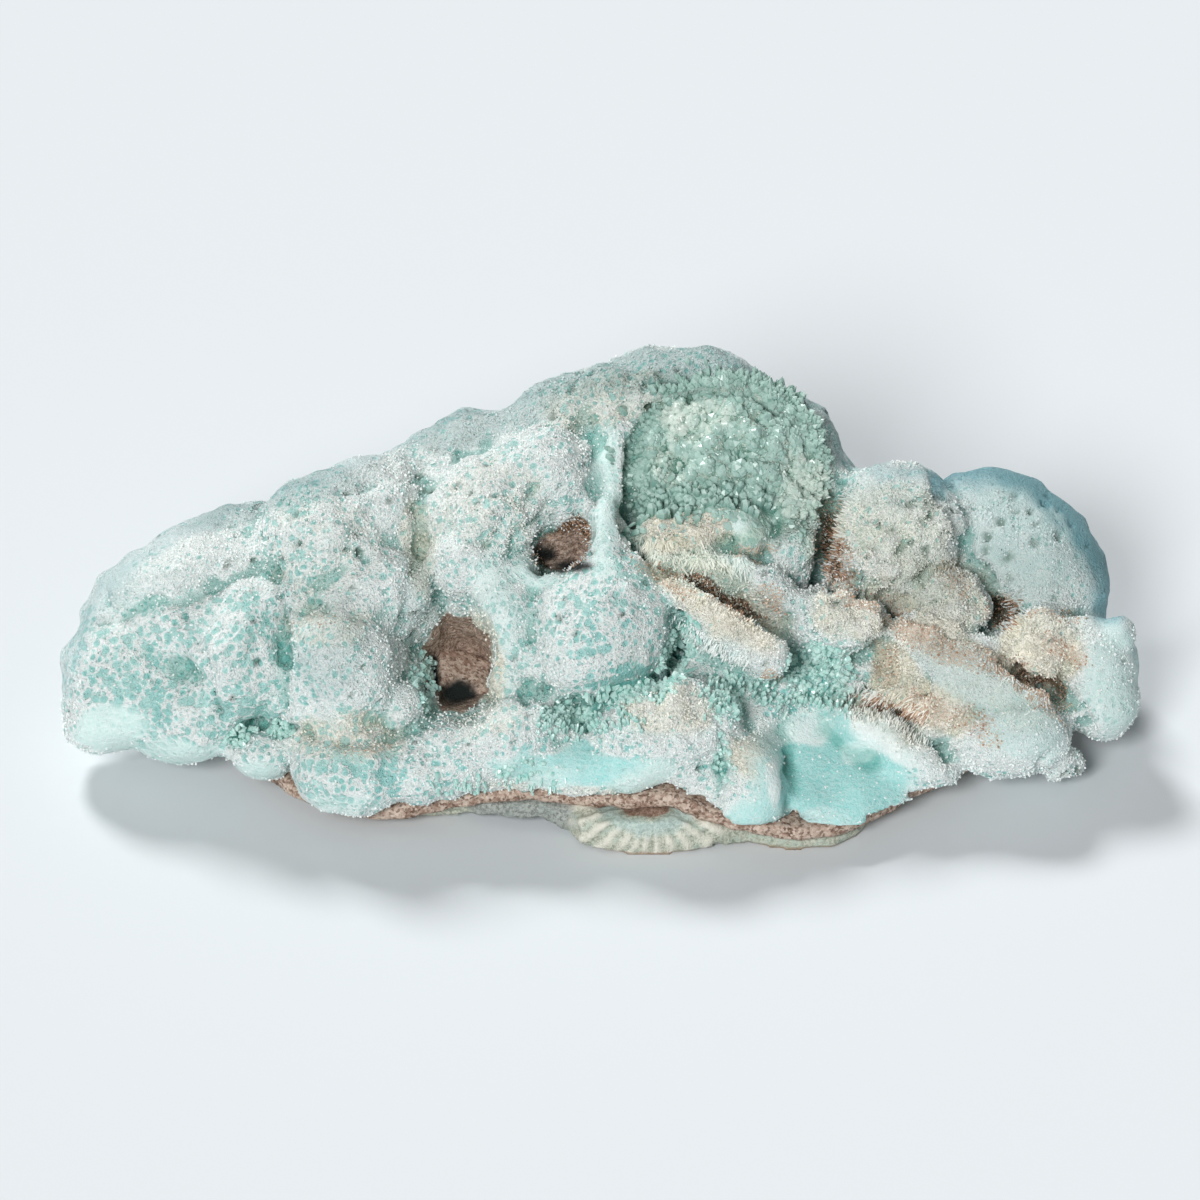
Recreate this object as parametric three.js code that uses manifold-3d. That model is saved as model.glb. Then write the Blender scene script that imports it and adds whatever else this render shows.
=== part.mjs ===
// Blue aragonite specimen: a lumpy crust of aragonite on a thin wavy plate of brown rock, with a second,
// thinner crust under the plate. Millimetres, +Z up; the broken front edge of the plate faces -Y.
import * as THREE from "three";
import { mergeVertices } from "three/addons/utils/BufferGeometryUtils.js";
import Module from "manifold-3d";

const wasm = await Module();
wasm.setup();

// Driving dimensions
const lookDown = THREE.MathUtils.degToRad(35); // how steeply one looks down on the specimen's front
const seamGap = 0.3; // between the rock plate and the crusts
const plateThickness = 2;
const bumpHeight = 0.5; // small unevenness of the crust's skin
const bumpWidth = 4.5;
const swellHeight = 0.8; // broad unevenness of the crust's skin
const swellWidth = 8.5;
const creaseRound = 4.5; // how wide the creases between lobes are filled
const creaseShrink = 0.5; // filled creases swell the crust, so it is shrunk by this much
const skin = { halfLength: 70, radius: 33, axis: [0, 33, 5], rows: 50, around: 46 };
const crowding = { amount: 0.42, angle: 20 }; // how the skin's points crowd towards the top and front
const weldDistance = 1e-3;
const sheet = { width: 150, depth: 76, thick: 40, middle: 32, spacing: 6 }; // the block under a wavy level
const rockReach = { low: -5, high: 25 }; // a block tall enough for the rock plate to be cut from
const skirt = { level: 2.6, left: [40, 46], right: [45, 50] }; // at the ends the crust hides the rock

// Places are given as one sees them from the front: across from the middle, up from the foot in the
// plane that faces the eye, and back from the front edge.
function seen(across, up, back) {
  return new THREE.Vector3(across, back, (up - back * Math.sin(lookDown)) / Math.cos(lookDown));
}

// Lobes of the upper crust: at [across, up, back], size [half width, half height, half depth] and turn
// in degrees, anticlockwise as seen.
const crestLobes = [
  { at: [12, 59, 50], size: [10, 7.8, 9], turn: -8 },
  { at: [3, 58, 49], size: [9.5, 7.6, 9], turn: 10 },
  { at: [-5, 56, 47], size: [8, 6.8, 8], turn: 25 },
  { at: [-14, 51.8, 46], size: [9, 6.7, 8.5], turn: 8 },
  { at: [-21, 50.5, 45], size: [7, 6.2, 8], turn: 15 },
  { at: [-29, 46.5, 43], size: [8, 5.6, 8], turn: 25 },
  { at: [-38, 43, 39], size: [8, 5.4, 8], turn: 20 },
  { at: [-46, 40.6, 36], size: [7, 5.7, 8], turn: 10 },
  { at: [-53.5, 37.6, 33], size: [6.8, 5.9, 7.5], turn: 20 },
  { at: [-60.5, 32, 30], size: [7.5, 6.6, 8], turn: 50 },
];
const leftLobes = [
  { at: [-61, 24, 24], size: [9.5, 9.6, 9], turn: 0 },
  { at: [-64.3, 18.6, 21], size: [5.6, 5, 6.5], turn: 0 },
  { at: [-55, 19, 19], size: [7.6, 7.2, 7.5], turn: 0 },
  { at: [-47, 26.8, 20], size: [6.6, 9, 8], turn: 0 },
  { at: [-44, 13.4, 12.5], size: [4.6, 3.3, 4.5], turn: -8 },
  { at: [-56, 37, 27.5], size: [8.5, 3.9, 6], turn: 12 },
  { at: [-48.5, 38.6, 28], size: [5.2, 3.6, 5], turn: 0 },
  { at: [-53.5, 31, 25], size: [7.5, 6.5, 7], turn: 0 },
  { at: [-50.5, 18.5, 17.5], size: [5.5, 5.5, 5.5], turn: 0 },
];
const midLeftLobes = [
  { at: [-36.5, 42, 29], size: [8.6, 8, 8], turn: 0 },
  { at: [-42, 33.5, 24], size: [6.5, 7, 6.5], turn: 0 },
  { at: [-24, 47.5, 38], size: [6.5, 6, 6.5], turn: 0 },
  { at: [-39, 20, 15], size: [4.5, 7, 6], turn: 0 },
  { at: [-29.5, 46, 33], size: [7.5, 6.5, 7], turn: 0 },
  { at: [-30, 35, 25], size: [8.5, 6.5, 7.5], turn: 0 },
  { at: [-33.6, 25, 16], size: [7.4, 9, 8], turn: 0 },
  { at: [-32.5, 11.6, 8], size: [7.6, 6.8, 7], turn: 0 },
  { at: [-25.8, 19.4, 13], size: [3.2, 3.4, 3.5], turn: 0 },
  { at: [-25, 11.6, 8], size: [5.6, 4.8, 6], turn: 0 },
  { at: [-15.2, 45.5, 33], size: [8.2, 7.4, 7.5], turn: 0 },
  { at: [-17.5, 39, 28], size: [5.5, 5.6, 6], turn: 0 },
  { at: [-7.5, 50, 37], size: [7.5, 7, 7.5], turn: 0 },
];
const middleLobes = [
  { at: [-12.6, 33, 24], size: [4.4, 6.5, 6], turn: 12 },
  { at: [-11.4, 25.5, 19], size: [4, 5.6, 5.5], turn: 0 },
  { at: [-8.6, 37, 26], size: [3.8, 2.9, 4], turn: -25 },
  { at: [0.2, 30.7, 22], size: [9.6, 9.4, 9], turn: 0 },
  { at: [-1.5, 25.4, 17], size: [8, 5.6, 6.5], turn: 0 },
  { at: [0.4, 41.8, 30.6], size: [3.6, 6, 6], turn: 0 },
  { at: [1.5, 49.5, 39.2], size: [3.4, 9, 5.4], turn: -4 },
];
const frontLobes = [
  { at: [-14, 14.8, 10.4], size: [9, 5.4, 7], turn: 0 },
  { at: [-20.5, 12.6, 8.6], size: [6, 5.2, 6], turn: 0 },
  { at: [-9, 17.6, 11], size: [5.5, 3.5, 5], turn: 0 },
  { at: [9.5, 16.6, 10.4], size: [9, 7, 8.4], turn: 0 },
  { at: [4.5, 15, 8.6], size: [6, 5.6, 6], turn: 0 },
  { at: [19.7, 8.8, 6], size: [5.2, 7, 6], turn: 0 },
  { at: [-2.5, 11.6, 9.4], size: [9, 4.6, 6], turn: 0 },
  { at: [14, 9, 7.4], size: [6.5, 5, 5.4], turn: 0 },
  { at: [36, 15.2, 14], size: [7, 3.6, 6], turn: -35 },
  { at: [41.8, 12.4, 12.5], size: [5.2, 2.7, 5], turn: -28 },
];
const rightLobes = [
  { at: [31, 31.4, 25], size: [6.2, 5.2, 6], turn: 0 },
  { at: [39, 44, 38], size: [9, 7.2, 8], turn: 0 },
  { at: [37, 47, 42], size: [8, 4.6, 6], turn: 0 },
  { at: [36, 38.4, 32], size: [6, 4, 5.5], turn: 0 },
  { at: [45.7, 33.4, 30], size: [5.8, 4.8, 5.5], turn: -15 },
  { at: [54, 38.3, 42], size: [15, 10.4, 10], turn: -45 },
  { at: [58, 27.6, 27], size: [7.4, 5.4, 7], turn: 0 },
  { at: [64.6, 24, 25], size: [5.7, 8, 7], turn: 0 },
  { at: [64, 19.6, 22], size: [5, 4.2, 5], turn: 0 },
  { at: [67, 29.2, 26], size: [2.3, 2.3, 2.5], turn: 0 },
  { at: [49.8, 22, 20], size: [14, 6.4, 7], turn: -36 },
  { at: [41, 28, 23.5], size: [4.6, 3.6, 4], turn: -20 },
  { at: [53, 15, 14], size: [8, 5.2, 6.5], turn: 0 },
  { at: [44, 19, 17], size: [4.6, 4.6, 5], turn: 0 },
  { at: [60.5, 11.8, 15], size: [3.2, 2.4, 3], turn: 10 },
];
const dome = { at: [16.3, 50, 44], size: [16, 13.9, 12], turn: 0 };
const domeFolds = [
  { at: [12, 43.2, 32.5], size: [8, 3.2, 5], turn: 6 },
  { at: [19, 43, 31], size: [3.1, 3, 3.5], turn: 0 },
  { at: [12.5, 37.6, 27.5], size: [6.5, 3.4, 4.5], turn: -18 },
  { at: [20.6, 36.4, 27], size: [6.6, 2.5, 4], turn: -32 },
  { at: [16, 30.2, 20], size: [10, 3.3, 4.6], turn: -38 },
  { at: [21.6, 26.4, 17], size: [3.1, 3.1, 3.6], turn: 0 },
  { at: [24.5, 41, 32], size: [4, 3.6, 4], turn: 0 },
];

// The mound under the lobes, and the lobes of the far side: centre and half sizes along X, Y and Z.
const straightLobes = [
  { centre: [0, 34, 2], size: [62, 28, 18] },
  { centre: [31, 17, 0], size: [14, 17, 9.6] },
  { centre: [-52, 38, 11], size: [11, 10, 9] },
  { centre: [-39, 47, 13], size: [11, 10, 11] },
  { centre: [-24, 53, 15], size: [10, 10, 13] },
  { centre: [-8, 56, 18], size: [11, 9, 14] },
  { centre: [9, 57, 20], size: [11, 9, 15] },
  { centre: [25, 54, 17], size: [10, 9, 14] },
  { centre: [39, 50, 13], size: [10, 9, 11] },
];

// Hollows: the two caves, the gaps among the dome's folds, as [across, up, back].
const hollows = [
  { at: [-18.8, 24.6, 17], size: [4.6, 6.8, 13], turn: -8 },
  { at: [-18.2, 20.2, 17], size: [4.4, 3.6, 10], turn: 20 },
  { at: [-4.6, 40.4, 32], size: [4.4, 2.4, 9], turn: 30 },
  { at: [-3, 42.4, 34], size: [1.9, 2, 7], turn: 0 },
  { at: [16.8, 33.8, 24], size: [7.6, 1.5, 7], turn: -30 },
  { at: [30, 41, 34], size: [1.9, 6, 8], turn: 10 },
  { at: [9.6, 25.4, 16], size: [1.5, 5.4, 6], turn: -22 },
  { at: [53.2, 32, 33], size: [1.8, 2.4, 7], turn: 0 },
  { at: [56.6, 23.2, 23], size: [5.6, 1.2, 5], turn: -32 },
  { at: [36.5, 19.3, 15], size: [5.4, 1.3, 6], turn: -18 },
];

// The rock plate's edge and level from the left end round the front, the right end and the back: x, y
// and the height of its middle. The front edge is where the specimen broke.
const plateEdge = [
  [-63, 30, 4.6], [-61, 26, 4.4], [-58, 23.6, 4], [-53, 21.5, 3.6], [-48, 18.6, 3.3], [-44, 15, 3.1],
  [-40, 10.4, 2.9], [-35, 7, 2.8], [-29, 5.7, 2.8], [-25, 5.5, 3], [-20, 6.5, 4],
  [-15, 6.7, 4.6], [-10, 6.9, 5.2], [-5, 5.9, 5.4], [0, 4.6, 5.8], [5, 3.1, 6.4], [9, 3.1, 7],
  [12, 2.5, 6.2], [15, 1.9, 4.8], [18, 1.5, 3.6], [22, 1.2, 3.4], [26, 1.1, 2.9], [30, 1.8, 2.6],
  [32, 2.9, 2.7], [36, 5.6, 3.2], [40, 9.3, 3.6], [45, 12.4, 3.8], [50, 17.4, 3.8], [56, 19.5, 3.8],
  [60, 22, 4], [62.4, 26, 4.6], [62.6, 31, 5], [60, 38, 5], [56, 44, 5],
  [50, 50, 5], [42, 55.6, 5], [31, 59.5, 5], [19, 62.2, 5], [7, 63.4, 5], [-5, 62.8, 5],
  [-17, 60.4, 5], [-29, 56.6, 5], [-40, 51, 5], [-49, 45, 5], [-56, 39.6, 5], [-61, 35, 4.8],
];
const plateMiddle = { level: 6, from: 3, to: 16 }; // reached between these distances inwards of the edge
const plateCentre = 33;
const roomGrowth = [1.007, 1.014]; // how much wider than the rock its room in the crust is
const rockKnoll = { at: [-19.5, 27], height: 7.5, radius: 6.5 }; // the rock seen in the larger cave
const plateWave = { height: 0.35, width: 7, seed: 3.7 };

// The under crust's edge, x and y, and the places where the specimen stands: x, y and radius.
const underEdge = [
  [-60, 31], [-58, 28], [-54, 26], [-48, 23], [-43, 18.6], [-36, 11.6], [-29, 9.4], [-22, 9],
  [-17, 8.2], [-13, 7], [-8, 6.6], [-4, 5], [-2.6, 2.6], [0, 1.6], [4, 0.9], [8, 0.9], [12, 1.4],
  [15, 2.2], [19, 3.2], [24, 2], [30, 2.2], [33, 4.6], [36, 9.4], [41, 14], [48, 20], [55, 24],
  [58.6, 28], [59.6, 33], [55, 41], [48, 47.5], [40, 52], [28, 56], [14, 59], [0, 59.5],
  [-14, 57.6], [-28, 53.5], [-40, 48], [-50, 41], [-57, 35.5],
];
const footFlats = [
  [0, 28, 13], [6, 4, 7], [25, 5.5, 7], [-28, 16, 8], [-26, 44, 9], [30, 45, 9], [42, 26, 7], [-43, 30, 7],
];
const underTop = 12;
const footRim = 1.6; // rounding of the under crust's edge

// How far the under crust arches between its feet, how unevenly, and how it rises towards the two ends.
const arch = { rise: 2.1, width: 7, least: 0.35, bumpWidth: 5, seed: 9.2 };
const endRise = { height: 1.2, from: 44, to: 66 };

// Smooth noise from -1 to 1, about one lump per unit.
function hash(x, y, z) {
  const s = Math.sin(x * 127.1 + y * 311.7 + z * 74.7) * 43758.5453;
  return s - Math.floor(s);
}

function noise(px, py, pz) {
  const [x, y, z] = [px, py, pz].map(Math.floor);
  const [u, v, w] = [px - x, py - y, pz - z].map((t) => t * t * (3 - 2 * t));
  const mix = THREE.MathUtils.lerp;
  const row = (j, k) => mix(hash(x, y + j, z + k), hash(x + 1, y + j, z + k), u);
  return 2 * mix(mix(row(0, 0), row(1, 0), v), mix(row(0, 1), row(1, 1), v), w) - 1;
}

function lumpAt(point, width, seed) {
  return noise(point.x / width + seed, point.y / width + seed, point.z / width + seed);
}

// Where a lobe's unit ball goes: turned in the plane that faces the eye, or straight along the axes.
function lobeMatrix({ at, centre, size, turn = 0 }) {
  const place = new THREE.Matrix4();
  if (centre) return place.makeTranslation(...centre).scale(new THREE.Vector3(...size));
  const [halfWidth, halfHeight, halfDepth] = size;
  return place
    .makeTranslation(seen(...at))
    .multiply(new THREE.Matrix4().makeRotationX(-lookDown))
    .multiply(new THREE.Matrix4().makeRotationY(-THREE.MathUtils.degToRad(turn)))
    .scale(new THREE.Vector3(halfWidth, halfDepth, halfHeight));
}

// How far along a ray one leaves the lobes, with the creases between them rounded a little.
function leavingDistance(from, direction, unitSpaces) {
  let far = 0;
  for (const unitSpace of unitSpaces) {
    const start = from.clone().applyMatrix4(unitSpace);
    const step = from.clone().add(direction).applyMatrix4(unitSpace).sub(start);
    const a = step.lengthSq();
    const b = start.dot(step);
    const inside = b * b - a * (start.lengthSq() - 1);
    if (inside <= 0) continue;
    const exit = (Math.sqrt(inside) - b) / a;
    const near = Math.max(creaseRound - Math.abs(exit - far), 0) / creaseRound;
    far = Math.max(exit, far) + (near * near * creaseRound) / 4;
  }
  return far;
}

// A closed skin drawn over the lobes: rings of points round a long axis, each moved out to where its
// ray leaves the lobes. The rings are crowded towards the top and front.
function skinGeometry(lobes) {
  const { halfLength, radius, axis, rows, around } = skin;
  const profile = new THREE.EllipseCurve(0, 0, radius, halfLength, -Math.PI / 2, Math.PI / 2)
    .getSpacedPoints(rows)
    .map((p, i) => new THREE.Vector2(i % rows === 0 ? 0 : p.x, p.y));
  const geometry = mergeVertices(bare(new THREE.LatheGeometry(profile, around)), weldDistance);
  const unitSpaces = lobes.map((one) => lobeMatrix(one).invert());
  const places = geometry.attributes.position;
  const towardsFront = THREE.MathUtils.degToRad(crowding.angle);
  for (let i = 0; i < places.count; i++) {
    const ringRadius = Math.hypot(places.getX(i), places.getZ(i));
    const evenAngle = Math.atan2(places.getX(i), places.getZ(i));
    const angle = evenAngle - crowding.amount * Math.sin(evenAngle - towardsFront);
    const along = places.getY(i);
    const from = new THREE.Vector3(along * (1 - (radius / halfLength) ** 2), 0, 0).add(
      new THREE.Vector3(...axis),
    );
    const direction = new THREE.Vector3(
      along / halfLength ** 2,
      (-ringRadius * Math.sin(angle)) / radius ** 2,
      (ringRadius * Math.cos(angle)) / radius ** 2,
    ).normalize();
    const far = leavingDistance(from, direction, unitSpaces);
    const point = from.addScaledVector(direction, far);
    const bump = bumpHeight * lumpAt(point, bumpWidth, 0);
    const swell = swellHeight * lumpAt(point, swellWidth, 2.9);
    point.addScaledVector(direction, bump + swell - creaseShrink);
    places.setXYZ(i, point.x, point.y, point.z);
  }
  return geometry;
}

function bare(geometry) {
  geometry.deleteAttribute("normal");
  geometry.deleteAttribute("uv");
  return geometry;
}

// A closed three.js geometry as a solid that can be cut and joined.
function solidOf(geometry) {
  const merged = mergeVertices(bare(geometry.clone()), weldDistance);
  const corners = Array.from(merged.index.array);
  const faces = [];
  for (let i = 0; i < corners.length; i += 3) {
    const [a, b, c] = corners.slice(i, i + 3);
    if (a !== b && b !== c && c !== a) faces.push(a, b, c);
  }
  return new wasm.Manifold(
    new wasm.Mesh({
      numProp: 3,
      vertProperties: new Float32Array(merged.attributes.position.array),
      triVerts: new Uint32Array(faces),
    }),
  );
}

function geometryOf(solid) {
  const mesh = solid.getMesh();
  const geometry = new THREE.BufferGeometry();
  geometry.setAttribute("position", new THREE.BufferAttribute(mesh.vertProperties, 3));
  geometry.setIndex(new THREE.BufferAttribute(mesh.triVerts, 1));
  geometry.computeVertexNormals();
  return geometry;
}

function hollowSolid(hollow) {
  const geometry = new THREE.IcosahedronGeometry(1, 3).applyMatrix4(lobeMatrix(hollow));
  const centre = seen(...hollow.at);
  const places = geometry.attributes.position;
  for (let i = 0; i < places.count; i++) {
    const point = new THREE.Vector3().fromBufferAttribute(places, i);
    const outwards = point.clone().sub(centre).normalize();
    point.addScaledVector(outwards, bumpHeight * lumpAt(point, bumpWidth / 2, 0));
    places.setXYZ(i, point.x, point.y, point.z);
  }
  return solidOf(geometry);
}

// The level of the plate's middle: the edge's own level near the edge, the inner level further in.
function plateLevel(x, y) {
  let weights = 0;
  let levels = 0;
  let nearest = Infinity;
  for (const [edgeX, edgeY, level] of plateEdge) {
    const distance = Math.hypot(x - edgeX, y - edgeY);
    const weight = 1 / (distance ** 4 + 1);
    weights += weight;
    levels += weight * level;
    nearest = Math.min(nearest, distance);
  }
  const inwards = THREE.MathUtils.smoothstep(nearest, plateMiddle.from, plateMiddle.to);
  const fromKnoll = Math.hypot(x - rockKnoll.at[0], y - rockKnoll.at[1]) / rockKnoll.radius;
  const knoll = Math.exp(-(fromKnoll ** 2));
  const waves = plateWave.height * noise(x / plateWave.width, y / plateWave.width, plateWave.seed);
  const level = THREE.MathUtils.lerp(levels / weights, plateMiddle.level, inwards);
  return level + rockKnoll.height * knoll + waves;
}

// The level of the upper crust's lower side: just above the rock, and lower at the two ends.
function crustFloor(x, y) {
  const left = THREE.MathUtils.smoothstep(-x, ...skirt.left);
  const right = THREE.MathUtils.smoothstep(x, ...skirt.right);
  const onRock = plateLevel(x, y) + plateThickness / 2 + seamGap;
  return THREE.MathUtils.lerp(onRock, skirt.level, Math.max(left, right));
}

// The level of the under crust's lower side: flat on its feet, arched between them.
function footLevel(x, y) {
  let stand = Infinity;
  for (const [footX, footY, radius] of footFlats) {
    stand = Math.min(stand, Math.hypot(x - footX, y - footY) - radius);
  }
  const away = THREE.MathUtils.smoothstep(stand, 0, arch.width);
  const outwards = THREE.MathUtils.smoothstep(Math.abs(x), endRise.from, endRise.to);
  const bumps = (1 + noise(x / arch.bumpWidth, y / arch.bumpWidth, arch.seed)) / 2;
  return away * (arch.rise * THREE.MathUtils.lerp(arch.least, 1, bumps) + endRise.height * outwards);
}

// Everything under a wavy level: a box whose top is moved to that level.
function below(level, shift) {
  const { width, depth, thick, middle, spacing } = sheet;
  const columns = Math.round(width / spacing);
  const rows = Math.round(depth / spacing);
  const geometry = new THREE.BoxGeometry(width, depth, thick, columns, rows, 1);
  geometry.translate(0, middle, -thick / 2);
  const places = geometry.attributes.position;
  for (let i = 0; i < places.count; i++) {
    if (places.getZ(i) < -thick / 2) continue;
    places.setZ(i, level(places.getX(i), places.getY(i)) + shift);
  }
  return solidOf(geometry);
}

// A slab with a given edge, its lower and upper rims rounded.
function slab(edge, low, high, rim) {
  const outline = new THREE.Shape(edge.map(([x, y]) => new THREE.Vector2(x, y)));
  return solidOf(
    new THREE.ExtrudeGeometry(outline, {
      depth: high - low - 2 * rim,
      bevelEnabled: rim > 0,
      bevelThickness: rim,
      bevelSize: rim,
      bevelOffset: -rim,
      bevelSegments: 2,
    }).translate(0, 0, low + rim),
  );
}

// Only the largest body: cutting can leave crumbs.
function largest(solid) {
  return solid.decompose().reduce((a, b) => (b.volume() > a.volume() ? b : a));
}

const lobes = [
  ...crestLobes,
  ...leftLobes,
  ...midLeftLobes,
  ...middleLobes,
  ...frontLobes,
  ...rightLobes,
  ...straightLobes,
  dome,
  ...domeFolds,
];
const halfPlate = plateThickness / 2;

const roomEdge = plateEdge.map(([x, y]) => [
  x * roomGrowth[0],
  plateCentre + (y - plateCentre) * roomGrowth[1],
]);
const room = slab(roomEdge, rockReach.low, rockReach.high, 0).intersect(
  below(plateLevel, halfPlate + seamGap),
);
const upperCrust = largest(
  hollows.reduce(
    (solid, hollow) => solid.subtract(hollowSolid(hollow)),
    solidOf(skinGeometry(lobes)).subtract(below(crustFloor, 0)).subtract(room),
  ),
);
const rock = largest(
  slab(plateEdge, rockReach.low, rockReach.high, 0)
    .intersect(below(plateLevel, halfPlate))
    .subtract(below(plateLevel, -halfPlate)),
);
const underCrust = largest(
  slab(underEdge, -footRim, underTop, footRim)
    .intersect(below(plateLevel, -halfPlate - seamGap))
    .subtract(below(footLevel, 0)),
);

const specimen = new THREE.Group();
specimen.name = "blue_aragonite";
for (const [name, solid, color, roughness] of [
  ["upper_crust", upperCrust, 0xa9d3cf, 0.6],
  ["rock_plate", rock, 0x8c6f60, 0.9],
  ["under_crust", underCrust, 0xd8dccb, 0.7],
]) {
  const material = new THREE.MeshStandardMaterial({ color, roughness, metalness: 0 });
  const mesh = new THREE.Mesh(geometryOf(solid), material);
  mesh.name = name;
  specimen.add(mesh);
}

// The origin is under the middle of the specimen, on what it stands on.
const box = new THREE.Box3().setFromObject(specimen);
const middle = box.getCenter(new THREE.Vector3());
for (const mesh of specimen.children) mesh.geometry.translate(-middle.x, -middle.y, -box.min.z);

export default specimen;
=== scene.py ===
import bpy
import bmesh
import itertools
import math
import numpy as np
from mathutils import Matrix, Vector


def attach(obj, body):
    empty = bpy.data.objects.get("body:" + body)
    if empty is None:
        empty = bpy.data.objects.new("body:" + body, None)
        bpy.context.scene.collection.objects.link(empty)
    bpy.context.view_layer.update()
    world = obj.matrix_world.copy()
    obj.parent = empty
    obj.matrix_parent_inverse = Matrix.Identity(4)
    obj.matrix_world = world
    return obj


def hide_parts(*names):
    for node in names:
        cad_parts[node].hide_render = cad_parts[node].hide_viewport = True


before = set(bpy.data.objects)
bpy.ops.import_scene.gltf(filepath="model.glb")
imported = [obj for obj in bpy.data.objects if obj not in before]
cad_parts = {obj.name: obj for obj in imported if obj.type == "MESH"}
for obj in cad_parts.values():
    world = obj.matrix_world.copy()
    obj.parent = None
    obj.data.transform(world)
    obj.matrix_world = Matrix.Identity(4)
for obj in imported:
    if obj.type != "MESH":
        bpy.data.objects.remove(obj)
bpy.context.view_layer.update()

mm = 0.001
weldDistance = 1e-6  # metres
leastWeight = 1e-9  # keeps the chances of a place from being all zero

# The specimen is described as it is seen from the front: across from its middle, up from its foot in
# the plane that faces the eye, and back from the front edge, all in millimetres.
sight = {
    "lookDown": 35,  # degrees
    "originAcross": -0.11,  # the frame's origin, which is under the middle of the specimen
    "originBack": 33.07,
    "aim": (-0.13, 33.54, 30),  # across, up and back of the picture's middle
    "frameWidth": 156,
    "distance": 2500,
}
lookDown = math.radians(sight["lookDown"])
sinDown, cosDown = math.sin(lookDown), math.cos(lookDown)
towardsEye = np.array([0, -cosDown, sinDown])
origin = np.array([sight["originAcross"], sight["originBack"], 0])


def seen(across, up, back):
    return np.array([across, back, (up - back * sinDown) / cosDown])


def upIn(points):
    return points[:, 1] * sinDown + points[:, 2] * cosDown


# A number from 0 to 1 for each corner of a grid, the same one each time.
def hashOf(x, y, z):
    wave = np.sin(x * 127.1 + y * 311.7 + z * 74.7) * 43758.5453
    return wave - np.floor(wave)


# Smooth lumps from -1 to 1, about one lump for each width.
def lumps(points, width, seed=0.0):
    scaled = points / width + seed
    corner = np.floor(scaled)
    inner = scaled - corner
    x, y, z = corner.T
    u, v, w = (inner * inner * (3 - 2 * inner)).T

    def row(j, k):
        left = hashOf(x, y + j, z + k)
        return left + (hashOf(x + 1, y + j, z + k) - left) * u

    low = row(0, 0) + (row(1, 0) - row(0, 0)) * v
    high = row(0, 1) + (row(1, 1) - row(0, 1)) * v
    return 2 * (low + (high - low) * w) - 1


def layered(points, width, layers=3, seed=0.0):
    total = sum(lumps(points, width / 2**i, seed + 7.3 * i) / 2**i for i in range(layers))
    return total / 1.5


def ramp(value, low, high):
    t = np.clip((value - low) / (high - low), 0, 1)
    return t * t * (3 - 2 * t)


# Rounded cells of about the given width. For each point: how far the middle of its cell is, in cell
# widths, and a number of the cell's own from 0 to 1.
def cellular(points, width, seed):
    scaled = points / width + seed
    corner = np.floor(scaled)
    nearest, own = np.full(len(points), np.inf), np.zeros(len(points))
    for shift in itertools.product((-1, 0, 1), repeat=3):
        cell = corner + shift
        x, y, z = cell.T
        middle = cell + np.stack([hashOf(x, y, z), hashOf(y, z, x), hashOf(z + 7, x, y)], 1)
        distance = np.linalg.norm(scaled - middle, axis=1)
        own = np.where(distance < nearest, hashOf(x + 3, y + 9, z + 5), own)
        nearest = np.minimum(nearest, distance)
    return nearest, own


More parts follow.
